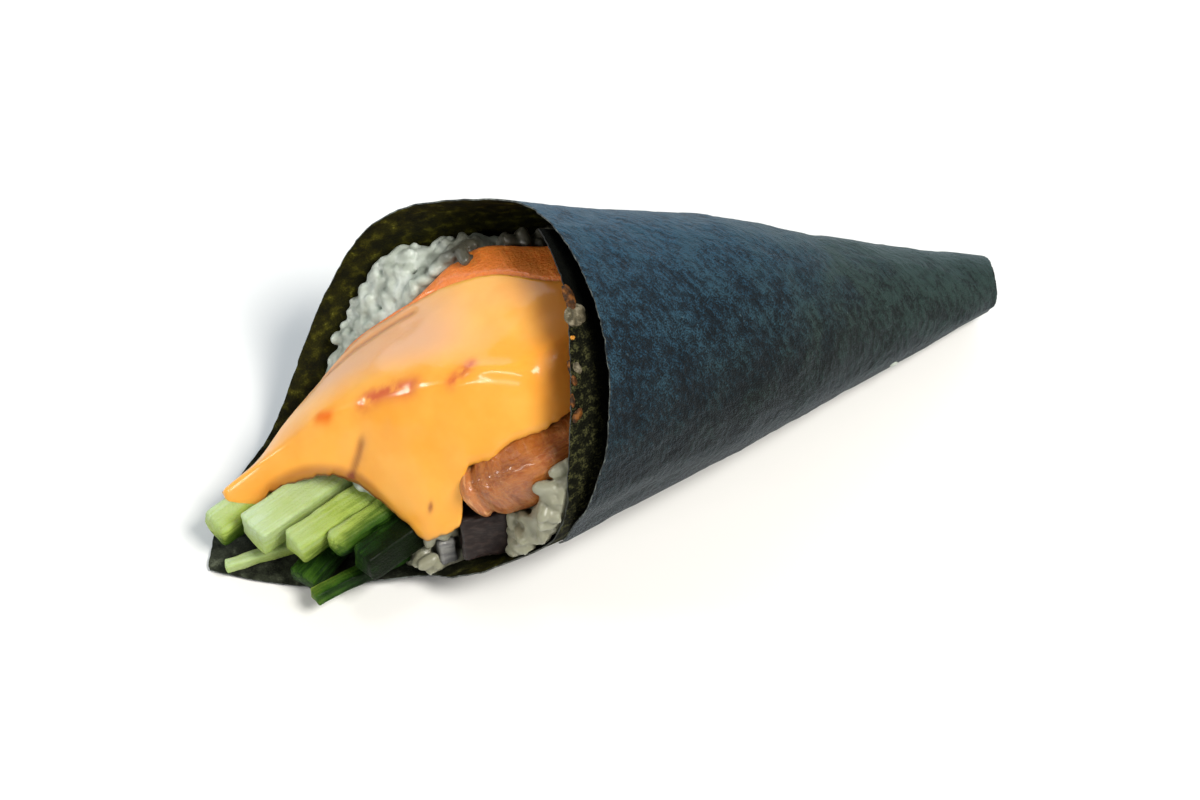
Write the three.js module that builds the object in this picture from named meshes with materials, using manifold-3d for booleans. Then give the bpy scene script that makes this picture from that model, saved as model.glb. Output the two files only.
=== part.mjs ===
// A temaki hand roll lying on its side: half a sheet of nori rolled one and a third turns into a cone,
// filled with rice, salmon, cucumber sticks and two cut blocks, under a thick orange sauce.
//
// Millimetres, +Z up. The cone lies along X on its lowest line, mouth towards -X and tip towards +X.
// The origin is on the floor, in the middle of the flat strip on which the roll rests.
import * as THREE from "three";
import { mergeVertices } from "three/addons/utils/BufferGeometryUtils.js";
import Module from "manifold-3d";

const wasm = await Module();
wasm.setup();

const RAD = Math.PI / 180;

// ---------------------------------------------------------------------------- driving sizes

const HALF_ANGLE = 14.2 * RAD; // between the cone's axis and its side
const APEX_X = 105; // where the cone's sides would meet, beyond the cut tip
const TIP_AT = 25.4; // from the apex to the tip's end, along the axis
const SHEET = 0.6; // thickness of the nori
const LAYER_GAP = 0.45; // between two turns that lie on each other
const MOUTH_SPREAD = 4.3; // how far the inner turn stands off the outer one at the mouth
const FLAT_BY = 0.6; // how far the roll is pressed flat where it lies
const STRIP_HALF = 11; // the flat strip's half-width, in degrees around the axis
const STRIP_TO = 122; // from the apex to the strip's end near the mouth
const BESIDE_LIFT = 0.15; // least height of the sheet beside the strip
const FLAP_LIFT = 0.5; // height of the corner flap's underside
const FLAP_RAMP = 18; // length over which the flap rises to it
const BULGE = 1.9; // how far the top swells out of a true cone
const BULGE_AT = 87; // from the apex to the middle of the swelling
const BULGE_REACH = 18; // how far it spreads along the axis to either side
const CLEAR = 0.32; // gap between neighbouring pieces

// The sheet is measured by its turn around the axis, in degrees: 0 is the top, 90 the near side (-Y),
// 180 the floor. It starts inside the roll, and its corner flap lies on the floor.
const TURN_STEP = 7.2;
const TURN_START = -378;
const TURN_CORNER = -176.4;
const TURN_END = 118.8;
const SHEET_ROWS = 13;

// Distance of the sheet's edge from the apex, along the axis, at some turns: the short edge runs
// from the inner start to the corner on the floor, the long edge from the corner to the outer end.
const SHORT_EDGE = [
  [-378, 129.5],
  [-350, 130.5],
  [-322, 133.5],
  [-290, 135.5],
  [-262, 134.5],
  [-240, 136.5],
  [-222, 146],
  [-206, 152],
  [-197, 163],
  [-186, 176],
  [-176.4, 185.5],
];
const LONG_EDGE = [
  [-176.4, 185.5],
  [-160, 178.5],
  [-146, 167.5],
  [-130, 160.5],
  [-108, 154.5],
  [-85, 149],
  [-70, 143.5],
  [-55, 135.5],
  [-37, 129.5],
  [-15, 128],
  [30, 127.8],
  [64, 129.5],
  [92, 131.9],
  [118.8, 131],
];

// The ridge of the filling, and the lower and upper edges of the sauce over it, by X: Y and Z.
const RIDGE = [
  [-84, 10.5, 6],
  [-78, 11.5, 10.5],
  [-67, 11, 19],
  [-58, 9, 27.5],
  [-45, 1, 38.5],
  [-36, -5, 44.5],
  [-25, -9, 49],
  [-10, -7, 51],
  [4, -4, 51],
];
const SAUCE_LOW = [
  [-78, 9, 8.5],
  [-71, 7, 11.5],
  [-66, 4.5, 15],
  [-61, 1, 17.5],
  [-56.5, -0.5, 19],
  [-53, -8, 18.5],
  [-47.5, -18.5, 16.5],
  [-44.5, -20, 16.5],
  [-41, -18.5, 20],
  [-37.5, -14, 26],
  [-32, -16.5, 29.5],
  [-26, -19.5, 38.5],
  [-16, -20, 42.5],
  [-3, -18, 44],
];
const SAUCE_HIGH = [
  [-78, 12.5, 9],
  [-71, 14.5, 12.5],
  [-64, 18.5, 15.5],
  [-56, 22, 19],
  [-47, 23, 27],
  [-37, 20.5, 35.5],
  [-28, 17.5, 42],
  [-20, 12.5, 46.5],
  [-13, 5, 49.5],
  [-3, 0, 50.5],
];
const SAUCE_THICK = 2.4;
const SAUCE_EDGE = 1.1;
const EDGE_FALL = 0.35; // slope of what lies just outside the sauce's edges
const SAUCE_FROM = -77.5;
const SAUCE_TO = -4;

// ---------------------------------------------------------------------------- small helpers

const clamp = (v, low, high) => Math.min(high, Math.max(low, v));
const mix = (a, b, t) => a + (b - a) * t;

// 0 below `from`, 1 above `to`, and a smooth rise between.
function rise(v, from, to) {
  const t = clamp((v - from) / (to - from), 0, 1);
  return t * t * (3 - 2 * t);
}

// A smooth function through rows of [x, value...], reading the value in `column`.
function through(rows, column = 1) {
  const slope = (i) => {
    const a = rows[Math.max(i - 1, 0)];
    const b = rows[Math.min(i + 1, rows.length - 1)];
    return (b[column] - a[column]) / (b[0] - a[0]);
  };
  return (x) => {
    const v = clamp(x, rows[0][0], rows[rows.length - 1][0]);
    let i = 0;
    while (i < rows.length - 2 && v > rows[i + 1][0]) i += 1;
    const width = rows[i + 1][0] - rows[i][0];
    const t = (v - rows[i][0]) / width;
    const u = 1 - t;
    return (
      (1 + 2 * t) * u * u * rows[i][column] +
      t * u * u * width * slope(i) +
      t * t * (3 - 2 * t) * rows[i + 1][column] -
      t * t * u * width * slope(i + 1)
    );
  };
}

// Seeded random numbers between 0 and 1.
function randomFrom(seed) {
  let state = seed;
  return () => {
    state = (Math.imul(state, 1664525) + 1013904223) >>> 0;
    return state / 4294967296;
  };
}

// ---------------------------------------------------------------------------- solids from points

function geometryOf(positions, index) {
  const geometry = new THREE.BufferGeometry();
  geometry.setAttribute("position", new THREE.Float32BufferAttribute(positions, 3));
  geometry.setIndex(index);
  return geometry;
}

// A closed slab between two grids of points, `columns` by `rows` cells, both split alike.
function slab(columns, rows, top, bottom) {
  const positions = [];
  const index = [];
  const at = (side, i, j) => (side * (columns + 1) + i) * (rows + 1) + j;
  for (const face of [top, bottom])
    for (let i = 0; i <= columns; i += 1)
      for (let j = 0; j <= rows; j += 1) positions.push(...face(i, j).toArray());
  for (let i = 0; i < columns; i += 1)
    for (let j = 0; j < rows; j += 1)
      for (const side of [0, 1]) {
        const [a, b, c, d] = [
          at(side, i, j),
          at(side, i + 1, j),
          at(side, i + 1, j + 1),
          at(side, i, j + 1),
        ];
        if (side) index.push(a, c, b, a, d, c);
        else index.push(a, b, c, a, c, d);
      }
  const wall = (i0, j0, i1, j1) => {
    const [a, b] = [at(0, i0, j0), at(0, i1, j1)];
    const [c, d] = [at(1, i0, j0), at(1, i1, j1)];
    index.push(a, c, b, b, c, d);
  };
  for (let i = 0; i < columns; i += 1) {
    wall(i, 0, i + 1, 0);
    wall(i + 1, rows, i, rows);
  }
  for (let j = 0; j < rows; j += 1) {
    wall(0, j + 1, 0, j);
    wall(columns, j, columns, j + 1);
  }
  return geometryOf(positions, index);
}

// A closed solid through rings of points: rings[k][i], with a flat fan over the first and last ring.
function rings(list) {
  const count = list[0].length;
  const positions = list.flat().flatMap((p) => p.toArray());
  const index = [];
  for (let k = 0; k + 1 < list.length; k += 1)
    for (let i = 0; i < count; i += 1) {
      const j = (i + 1) % count;
      const [a, b, c, d] = [k * count + i, k * count + j, (k + 1) * count + j, (k + 1) * count + i];
      index.push(a, b, c, a, c, d);
    }
  for (const k of [0, list.length - 1]) {
    const middle = new THREE.Vector3();
    list[k].forEach((p) => middle.addScaledVector(p, 1 / count));
    const centre = positions.length / 3;
    positions.push(...middle.toArray());
    for (let i = 0; i < count; i += 1) {
      const [a, b] = [k * count + i, k * count + ((i + 1) % count)];
      if (k) index.push(centre, a, b);
      else index.push(centre, b, a);
    }
  }
  return geometryOf(positions, index);
}

// A three.js geometry as a solid for joining and cutting.
function solid(source) {
  const bare = source.index ? source.toNonIndexed() : source.clone();
  const only = new THREE.BufferGeometry().setAttribute("position", bare.getAttribute("position"));
  const merged = mergeVertices(only, 1e-3);
  const made = new wasm.Manifold(
    new wasm.Mesh({
      numProp: 3,
      vertProperties: merged.attributes.position.array,
      triVerts: new Uint32Array(merged.index.array),
    }),
  );
  return made;
}

// The largest connected body of a solid: a cut can leave loose scraps.
function largest(made) {
  const bodies = made.decompose();
  return bodies.reduce((best, body) => (body.volume() > best.volume() ? body : best));
}

function geometryFrom(made) {
  const mesh = made.getMesh();
  const positions = new Float32Array(mesh.numVert * 3);
  for (let i = 0; i < mesh.numVert; i += 1)
    positions.set(mesh.vertProperties.subarray(i * mesh.numProp, i * mesh.numProp + 3), i * 3);
  const geometry = new THREE.BufferGeometry();
  geometry.setAttribute("position", new THREE.BufferAttribute(positions, 3));
  geometry.setIndex(new THREE.BufferAttribute(new Uint32Array(mesh.triVerts), 1));
  return geometry;
}

const cut = (made, tools) => tools.reduce((left, tool) => left.subtract(tool), made);

// ---------------------------------------------------------------------------- the rolled sheet

const AXIS = new THREE.Vector3(-Math.cos(HALF_ANGLE), 0, Math.sin(HALF_ANGLE));
const UPWARD = new THREE.Vector3(Math.sin(HALF_ANGLE), 0, Math.cos(HALF_ANGLE));
const NEARWARD = new THREE.Vector3(0, -1, 0);
const GROWTH = Math.tan(HALF_ANGLE);

// Radius of the roll's outer face: a cone that swells a little, at the top most of all.
function outerRadius(along, turn) {
  const swelling = BULGE * Math.exp(-(((along - BULGE_AT) / BULGE_REACH) ** 2));
  return along * GROWTH + (swelling * (1 + Math.cos(turn * RAD))) / 2;
}

// The roll rests on a flat strip of four corners. Beside it and under the flap it clears the floor.
function clearance(along, turn) {
  const beside = Math.abs(Math.sin(turn * RAD)) > Math.sin(STRIP_HALF * RAD) ? BESIDE_LIFT : 0;
  return Math.max(beside, FLAP_LIFT * rise(along, STRIP_TO, STRIP_TO + FLAP_RAMP));
}

// A point `inset` inside the outer face, never lower than `floor` after the roll is pressed flat.
function conePoint(along, turn, inset, floor) {
  const radius = outerRadius(along, turn) - inset;
  const point = new THREE.Vector3(APEX_X, 0, -FLAT_BY)
    .addScaledVector(AXIS, along)
    .addScaledVector(UPWARD, radius * Math.cos(turn * RAD))
    .addScaledVector(NEARWARD, radius * Math.sin(turn * RAD));
  point.z = Math.max(point.z, floor + clearance(along, turn));
  return point;
}

// How far the sheet's outer face lies inside the cone: the inner turn passes under the outer one,
// stands off it at the mouth, and comes out to the surface again on the floor.
function sheetInset(turn, along) {
  const under = (SHEET + LAYER_GAP) * (1 - rise(turn, -232, -192));
  const standOff = Math.sin(clamp((turn + 388) / 152, 0, 1) * Math.PI);
  return under + MOUTH_SPREAD * standOff * rise(along, 88, 130);
}

const shortEdge = through(SHORT_EDGE);
const longEdge = through(LONG_EDGE);
const rimAt = (turn) => (turn < TURN_CORNER ? shortEdge(turn) : longEdge(turn));
const tipAt = (turn) => TIP_AT + 0.7 * Math.sin(turn * RAD * 1.3) + 0.4 * Math.sin(turn * RAD * 4.1);

function noriWrap() {
  const columns = Math.round((TURN_END - TURN_START) / TURN_STEP);
  const face = (inner) => (i, j) => {
    const even = TURN_START + i * TURN_STEP;
    const share = j / SHEET_ROWS;
    const along = mix(tipAt(even), rimAt(even), share);
    // The outer end of the sheet runs aslant: it reaches further round at the mouth.
    const turn = even + (0.12 * (along - 86) - 2.3) * rise(even, 70, TURN_END);
    // Both free edges of the mouth wave a little.
    const wave = 0.35 * Math.sin(even * 0.11) * rise(share, 0.7, 1) * rise(even, -230, -190);
    const under = inner ? SHEET : 0;
    const calm = 1 - rise(even, -60, -20);
    return conePoint(along, turn, sheetInset(even, along) + under + wave * calm, under);
  };
  return slab(columns, SHEET_ROWS, face(true), face(false));
}

// ---------------------------------------------------------------------------- cucumber sticks

// A straight stick or block with eased edges: its front end is centred at `front`, it runs `long`
// towards +X turned by `heading` about Z, tipped up by `pitch` and rolled by `roll`.
function stick({ front, heading, pitch = 0, roll = 0, wide, high, long, ease = 0.7 }, grow = 0) {
  const w = wide / 2 + grow;
  const h = high / 2 + grow;
  const r = Math.min(ease + grow, w * 0.9, h * 0.9);
  const outline = new THREE.Shape()
    .moveTo(-w + r, -h)
    .lineTo(w - r, -h)
    .quadraticCurveTo(w, -h, w, -h + r)
    .lineTo(w, h - r)
    .quadraticCurveTo(w, h, w - r, h)
    .lineTo(-w + r, h)
    .quadraticCurveTo(-w, h, -w, h - r)
    .lineTo(-w, -h + r)
    .quadraticCurveTo(-w, -h, -w + r, -h);
  const geometry = new THREE.ExtrudeGeometry(outline, {
    depth: long + 2 * grow,
    bevelEnabled: false,
    curveSegments: 2,
    steps: 1,
  });
  geometry.translate(0, 0, -grow);
  // The outline's plane becomes the stick's cross-section: depth along +X, width along Y.
  geometry.applyMatrix4(new THREE.Matrix4().set(0, 0, 1, 0, 1, 0, 0, 0, 0, 1, 0, 0, 0, 0, 0, 1));
  geometry.rotateX(roll * RAD);
  geometry.rotateY(-pitch * RAD);
  geometry.rotateZ(heading * RAD);
  geometry.translate(...front);
  return geometry;
}

// Each stick lies on the floor of the roll or on the sticks below it.
const STICKS = {
  cucumber_far: { front: [-83, 6.6, 6.9], heading: 17, roll: 8, wide: 6.2, high: 6, long: 27 },
  cucumber_pale: { front: [-77, 0.4, 10.1], heading: 17, wide: 7.2, high: 6.6, long: 50 },
  cucumber_middle: { front: [-71, -5.9, 10.7], heading: 17, wide: 5.6, high: 5.8, long: 56 },
  cucumber_round: { front: [-64.3, -9.4, 12.2], heading: 17, wide: 5, high: 5.4, long: 50, ease: 1.9 },
  cucumber_near: { front: [-60.7, -14.7, 11.4], heading: 17, roll: -10, wide: 5.6, high: 6.2, long: 44 },
  cucumber_sliver: { front: [-83, 1, 3], heading: -6, wide: 2.2, high: 2.4, long: 17, ease: 0.4 },
  cucumber_skin: { front: [-71, -9.4, 4.5], heading: 31, roll: -9, wide: 6, high: 3.8, long: 32 },
  cucumber_thin: {
    front: [-70.5, -14, 5],
    heading: 8,
    roll: -16,
    wide: 3.2,
    high: 2.6,
    long: 20,
    ease: 0.4,
  },
};

const BLOCKS = {
  tuna_block: { front: [-42, -17.4, 13.9], heading: -12, roll: -28, wide: 6, high: 9.4, long: 10 },
  pale_block: { front: [-46, -15.9, 9.2], heading: -8, roll: -18, wide: 4, high: 5.6, long: 3.6, ease: 0.5 },
};

// ---------------------------------------------------------------------------- the draped pieces

const ridgeY = through(RIDGE, 1);
const ridgeZ = through(RIDGE, 2);
const lowY = through(SAUCE_LOW, 1);
const lowZ = through(SAUCE_LOW, 2);
const highY = through(SAUCE_HIGH, 1);
const highZ = through(SAUCE_HIGH, 2);

// Height of the filling's top over the plan: it falls from the ridge to both edges of the sauce, and
// more evenly beyond them.
function heapTop(x, y) {
  const far = y > ridgeY(x);
  const [edgeY, edgeZ] = far ? [highY(x), highZ(x)] : [lowY(x), lowZ(x)];
  const out = Math.abs((y - ridgeY(x)) / (edgeY - ridgeY(x)));
  const drop = ridgeZ(x) - edgeZ;
  const beyond = Math.max(Math.abs(y - ridgeY(x)) - Math.abs(edgeY - ridgeY(x)), 0);
  return ridgeZ(x) - drop * Math.min(out, 1) ** 1.5 - EDGE_FALL * beyond;
}

// How much a vertical thickness grows on a slope, so that the piece stays equally thick across it.
function slant(x, y) {
  const dx = heapTop(x + 0.5, y) - heapTop(x - 0.5, y);
  const dy = heapTop(x, y + 0.5) - heapTop(x, y - 0.5);
  return Math.min(Math.hypot(1, dx, dy), 2.4);
}

// A piece spread over the heap between two edges, its top `below` under the heap's top. Its middle row
// follows the ridge.
function spread({ from, to, low, high, below, thick, columns, rows }, grow = 0) {
  const point = (under) => (i, j) => {
    const x = mix(from - grow, to + grow, i / columns);
    const v = (j / rows) * 2 - 1;
    const y = mix(ridgeY(x), v < 0 ? low(x) - grow : high(x) + grow, Math.abs(v) ** 0.9);
    const z = heapTop(x, y) - below(x, y) * slant(x, y);
    const full = thick(x, v) * slant(x, y);
    return new THREE.Vector3(x, y, under ? z - full - grow : z + grow);
  };
  return slab(columns, rows, point(false), point(true));
}

const SAUCE = {
  from: SAUCE_FROM,
  to: SAUCE_TO,
  low: lowY,
  high: highY,
  below: () => 0,
  thick: (x, v) => mix(SAUCE_EDGE, SAUCE_THICK, 1 - v ** 4) * rise(x, -86, -70),
  columns: 30,
  rows: 12,
};

const SLICE_GAP = 0.8; // between the sauce and the salmon under it

// The salmon slice under the ridge looks out past the sauce's upper edge at the mouth.
const SALMON_SLICE = {
  from: -62,
  to: -1,
  low: (x) => ridgeY(x) - 4,
  high: (x) => highY(x) + mix(-3, 1.6, rise(x, -58, -46)) + 13 * rise(x, -37, -12),
  below: (x, y) => mix(0.6, SAUCE_THICK + SLICE_GAP, rise(highY(x) + 1 - y, 0, 3)),
  thick: (x, v) => mix(3.5, 7.5, 1 - v * v) * mix(0.5, 1, rise(x, -62, -52)),
  columns: 18,
  rows: 8,
};

// ---------------------------------------------------------------------------- the salmon chunk

// Points that the chunk's middle passes through, inside the mouth on the near side.
const CHUNK_MIDDLE = [
  [-39.5, -16, 22],
  [-33.5, -17.5, 26.5],
  [-24, -19.2, 31.5],
  [-9, -17.5, 34],
];
const CHUNK_WIDE = 5.2;
const CHUNK_HIGH = 6.6;

function salmonChunk(grow = 0) {
  const path = new THREE.CatmullRomCurve3(CHUNK_MIDDLE.map((p) => new THREE.Vector3(...p)));
  const stations = 12;
  const around = 16;
  const list = [];
  for (let k = 0; k <= stations; k += 1) {
    const t = k / stations;
    const middle = path.getPoint(t);
    const ahead = path.getTangent(t);
    const side = new THREE.Vector3(0, 0, 1).cross(ahead).normalize();
    const up = ahead.clone().cross(side);
    // Rounded ends, and a waist where the flesh folds.
    const rounded = Math.sqrt(clamp(1 - Math.abs(2 * t - 1) ** 5, 0.12, 1));
    const full = rounded - 0.16 * Math.exp(-(((t - 0.2) / 0.06) ** 2));
    middle.addScaledVector(ahead, grow * (2 * t - 1));
    list.push(
      Array.from({ length: around }, (_, i) => {
        const angle = (i / around) * 2 * Math.PI;
        const round = (v) => Math.sign(v) * Math.abs(v) ** 0.75;
        return middle
          .clone()
          .addScaledVector(side, round(Math.cos(angle)) * (CHUNK_WIDE * full + grow))
          .addScaledVector(up, round(Math.sin(angle)) * (CHUNK_HIGH * full + grow));
      }),
    );
  }
  return rings(list);
}

// ---------------------------------------------------------------------------- the rice

const CORE_TURNS = 30;
const CORE_FROM = 31;
const CORE_TO = 168;
const CORE_ROWS = 9;
const GRAIN = [2.9, 1.45, 1.3]; // half the length, width and height of one cooked grain
const UNDER_SAUCE_FROM = -57;
const UNDER_SAUCE_BY = 6;
const GRAINS_WANTED = 72;
const GRAIN_TRIES = 1500;

// How far inside the cone the wrap's inner face lies at a turn, with the step of its start smoothed.
function wrapInside(turn, along) {
  const wound = ((((turn + 18) % 360) + 360) % 360) - 378;
  const start = sheetInset(TURN_START, along) * rise(wound, -52, -30);
  return Math.max(sheetInset(wound, along), start) + SHEET;
}

// The rice's top over the plan: it slopes down to the mouth on the far side, stands steeper on the
// near side and fills the space under the sauce. The top of the mouth stays empty.
function riceTop(x, y) {
  const near = 1 - rise(y, -16, 2);
  const slope = mix(0.85, 0.4, near);
  const foot = mix(-62, -39, near);
  const cap = 38 + 9 * rise(y, 10, 22) - 2 * near;
  const covered = x > UNDER_SAUCE_FROM && y > lowY(x) + 3 && y < highY(x) - 4;
  const under = covered ? heapTop(x, y) - UNDER_SAUCE_BY : 0;
  return clamp(Math.max((x - foot) / slope, under), -4, cap);
}

function riceCore() {
  const list = [];
  for (let k = 0; k <= CORE_ROWS; k += 1) {
    const along = mix(CORE_FROM, CORE_TO, k / CORE_ROWS);
    list.push(
      Array.from({ length: CORE_TURNS }, (_, i) => {
        const turn = (-360 / CORE_TURNS) * i;
        return conePoint(along, turn, wrapInside(turn, along) + CLEAR + 0.25, SHEET + CLEAR);
      }),
    );
  }
  const cone = solid(rings(list));
  const columns = 20;
  const rows = 14;
  const place = (i, j) => {
    const x = i < 18 ? mix(-66, 6, i / 18) : mix(6, 90, (i - 18) / 2);
    return [x, mix(-46, 46, j / rows)];
  };
  const lid = slab(
    columns,
    rows,
    (i, j) => new THREE.Vector3(...place(i, j), riceTop(...place(i, j))),
    (i, j) => new THREE.Vector3(...place(i, j), -6),
  );
  return cone.intersect(solid(lid));
}

// Where a point lies around and along the cone, and how far inside its surface.
function coneCoordinates(point) {
  const from = point.clone().sub(new THREE.Vector3(APEX_X, 0, -FLAT_BY));
  const along = from.dot(AXIS);
  const [up, near] = [from.dot(UPWARD), from.dot(NEARWARD)];
  const turn = Math.atan2(near, up) / RAD;
  return { along, turn, inset: outerRadius(along, turn) - Math.hypot(up, near) };
}

function grainClearsWrap(geometry) {
  const positions = geometry.getAttribute("position");
  for (let i = 0; i < positions.count; i += 1) {
    const point = new THREE.Vector3().fromBufferAttribute(positions, i);
    const { along, turn, inset } = coneCoordinates(point);
    if (inset < wrapInside(turn, along) + CLEAR || point.z < SHEET + CLEAR) return false;
  }
  return true;
}

function rice(neighbours) {
  const core = largest(cut(riceCore(), neighbours));
  const random = randomFrom(41);
  const grains = [];
  for (let n = 0; n < GRAIN_TRIES && grains.length < GRAINS_WANTED; n += 1) {
    const near = n % 3 === 0;
    const y = near ? mix(-30, -14, random()) : mix(6, 40, random());
    const x = near ? mix(-42, -20, random()) : mix(-58, -6, random());
    const shape = new THREE.SphereGeometry(1, 5, 4);
    const size = 0.9 + 0.2 * random();
    shape.scale(GRAIN[0] * size, GRAIN[1] * size, GRAIN[2] * size);
    shape.rotateX(random() * Math.PI);
    shape.rotateY((random() - 0.5) * 1.6);
    shape.rotateZ(random() * Math.PI);
    const z = riceTop(x, y) + 0.1;
    shape.translate(x, y, z);
    if (z < 4 || !grainClearsWrap(shape)) continue;
    const grain = solid(shape);
    const sunk = grain.intersect(core).volume() / grain.volume();
    if (sunk < 0.12 || sunk > 0.75) continue;
    if (neighbours.some((tool) => grain.intersect(tool).volume() > 0)) continue;
    if (grains.some((other) => grain.intersect(other).volume() > 0.35 * grain.volume())) continue;
    grains.push(grain);
  }
  return largest(wasm.Manifold.union([core, ...grains]));
}

// ---------------------------------------------------------------------------- the roll

const finish = (color, roughness) => new THREE.MeshStandardMaterial({ color, roughness, metalness: 0 });
const NORI = finish(0x2f3f42, 0.62);
const RICE = finish(0xd9d6c6, 0.45);
const SALMON = finish(0xc9713a, 0.4);
const SAUCE_ORANGE = finish(0xf3aa4a, 0.3);
const CUCUMBER = finish(0xa6c77e, 0.42);
const TUNA = finish(0x5a4a48, 0.45);
const PALE = finish(0x8a8a86, 0.5);

const roll = new THREE.Group();

function add(name, geometry, material) {
  const mesh = new THREE.Mesh(geometry, material);
  mesh.name = name;
  roll.add(mesh);
}

add("nori_wrap", noriWrap(), NORI);
for (const [name, sizes] of Object.entries(STICKS)) add(name, stick(sizes), CUCUMBER);
add("tuna_block", stick(BLOCKS.tuna_block), TUNA);
add("pale_block", stick(BLOCKS.pale_block), PALE);

const firm = [...Object.values(STICKS), ...Object.values(BLOCKS)];
const firmTools = firm.map((sizes) => solid(stick(sizes, CLEAR)));
const chunk = largest(cut(solid(salmonChunk()), firmTools));
const slice = largest(cut(solid(spread(SALMON_SLICE)), [...firmTools, solid(salmonChunk(CLEAR))]));
const salmonTools = [solid(salmonChunk(CLEAR)), solid(spread(SALMON_SLICE, CLEAR))];
const sauce = largest(cut(solid(spread(SAUCE)), [...firmTools, ...salmonTools]));
const sauceTool = solid(spread({ ...SAUCE, columns: 18, rows: 6 }, CLEAR + 0.5));

add("salmon_chunk", geometryFrom(chunk), SALMON);
add("salmon_slice", geometryFrom(slice), SALMON);
add("sauce", geometryFrom(sauce), SAUCE_ORANGE);
add("rice", geometryFrom(rice([...firmTools, ...salmonTools, sauceTool])), RICE);

export default roll;
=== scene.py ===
import math
import random

import bpy
import numpy as np
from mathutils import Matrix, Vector, noise
from mathutils.bvhtree import BVHTree


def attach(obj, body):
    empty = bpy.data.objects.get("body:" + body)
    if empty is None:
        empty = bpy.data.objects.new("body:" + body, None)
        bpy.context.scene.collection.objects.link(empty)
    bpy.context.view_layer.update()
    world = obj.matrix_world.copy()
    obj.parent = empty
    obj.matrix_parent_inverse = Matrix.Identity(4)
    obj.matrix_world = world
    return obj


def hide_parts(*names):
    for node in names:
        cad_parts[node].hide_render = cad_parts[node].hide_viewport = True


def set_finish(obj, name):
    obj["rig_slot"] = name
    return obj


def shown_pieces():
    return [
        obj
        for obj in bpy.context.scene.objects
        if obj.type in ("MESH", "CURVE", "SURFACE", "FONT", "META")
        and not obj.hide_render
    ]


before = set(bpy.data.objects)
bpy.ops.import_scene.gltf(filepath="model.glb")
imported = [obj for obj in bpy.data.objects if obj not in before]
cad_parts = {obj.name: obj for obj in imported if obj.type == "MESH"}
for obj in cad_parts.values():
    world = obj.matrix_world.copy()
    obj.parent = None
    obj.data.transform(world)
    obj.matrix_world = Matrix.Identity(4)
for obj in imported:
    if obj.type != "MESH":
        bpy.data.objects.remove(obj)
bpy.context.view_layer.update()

# ------------------------------------------------------------------------------------------------
# The nori wrap: a sheet of dried, pressed laver about a quarter of a millimetre thick, rolled one
# and a third turns into a cone. The inner turn passes under the outer one and stands off it at the
# mouth, and one corner of the sheet lies on the floor in front of it.
MM = 0.001
RAD = math.pi / 180
HALF_ANGLE = 14.2 * RAD
GROWTH = math.tan(HALF_ANGLE)
APEX = np.array([105.0, 0.0, -0.6])
AXIS = np.array([-math.cos(HALF_ANGLE), 0.0, math.sin(HALF_ANGLE)])
UPWARD = np.array([math.sin(HALF_ANGLE), 0.0, math.cos(HALF_ANGLE)])
NEARWARD = np.array([0.0, -1.0, 0.0])
TIP_AT = 25.5  # from the apex along the axis, as every `along` is
BULGE, BULGE_AT, BULGE_REACH = 1.9, 87.0, 18.0  # the top is a little fuller there than a cone
# Turns are in degrees around the axis from the top. The sheet starts inside the roll, and its far
# corner is on the floor at the second of these.
TURN_START, TURN_CORNER, TURN_END = -378.0, -176.4, 118.8
UNDER_UNTIL = (-232, -192)  # where the inner turn moves out to become the outer one
LAID_DOWN = (84, 108)  # where the outer end is laid on the inner turn
ROOM = 1.05  # from the outer turn's outer face to the inner turn's
MOUTH_SPREAD = 4.3  # how far the inner turn stands off at the mouth, over these turns and lengths
SPREAD_FROM, SPREAD_TURNS, SPREAD_ALONG = -388, 143, (88, 130)
FLOOR_STRIP, OFF_FLOOR = 11 * RAD, 0.15  # the strip that rests on the floor, and the sides' gap
FLAP_LIFT, FLAP_ALONG = 0.5, (122, 140)  # how high the corner lies, and where it gets there
NORI_THICK = 0.28
NORI_COLUMNS, NORI_ROWS = 400, 116
RIB_ANGLE = 128.4 * RAD  # of the sheet's ribs, from the line at the top of the cone
EDGE_NICKS = 0.3
CRUMPLE, EDGE_WAVE = 0.42, 0.35  # the deepest dent, and the wave of the free edge
DAMP_TURN = -222  # up to here the sheet is the damp inner turn
SHORT_EDGE = [
    (-378, 129.5), (-350, 130.5), (-322, 133.5), (-290, 135.5), (-262, 134.5), (-240, 136.5),
    (-222, 146), (-206, 152), (-197, 163), (-186, 176), (-176.4, 185.5),
]
LONG_EDGE = [
    (-176.4, 185.5), (-160, 178.5), (-146, 167.5), (-130, 160.5), (-108, 154.5), (-85, 149),
    (-70, 143.5), (-55, 135.5), (-37, 129.5), (-15, 128), (30, 127.8), (64, 129.5), (92, 131.9),
    (118.8, 131),
]


def mix(a, b, t):
    return a + (b - a) * t


def rise(v, start, end):
    """0 below start, 1 above end, and a smooth rise between."""
    t = np.clip((v - start) / (end - start), 0.0, 1.0)
    return t * t * (3 - 2 * t)


def through(rows, column=1):
    """A smooth function through rows of (x, value...), reading the value in that column."""
    at = np.array([row[0] for row in rows], float)
    value = np.array([row[column] for row in rows], float)
    before = np.maximum(np.arange(len(at)) - 1, 0)
    after = np.minimum(np.arange(len(at)) + 1, len(at) - 1)
    slope = (value[after] - value[before]) / (at[after] - at[before])

    def read(x):
        v = np.clip(x, at[0], at[-1])
        i = np.clip(np.searchsorted(at, v) - 1, 0, len(at) - 2)
        wide = at[i + 1] - at[i]
        t = (v - at[i]) / wide
        u = 1 - t
        return (
            (1 + 2 * t) * u * u * value[i]
            + t * u * u * wide * slope[i]
            + t * t * (3 - 2 * t) * value[i + 1]
            - t * t * u * wide * slope[i + 1]
        )

    return read


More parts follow.
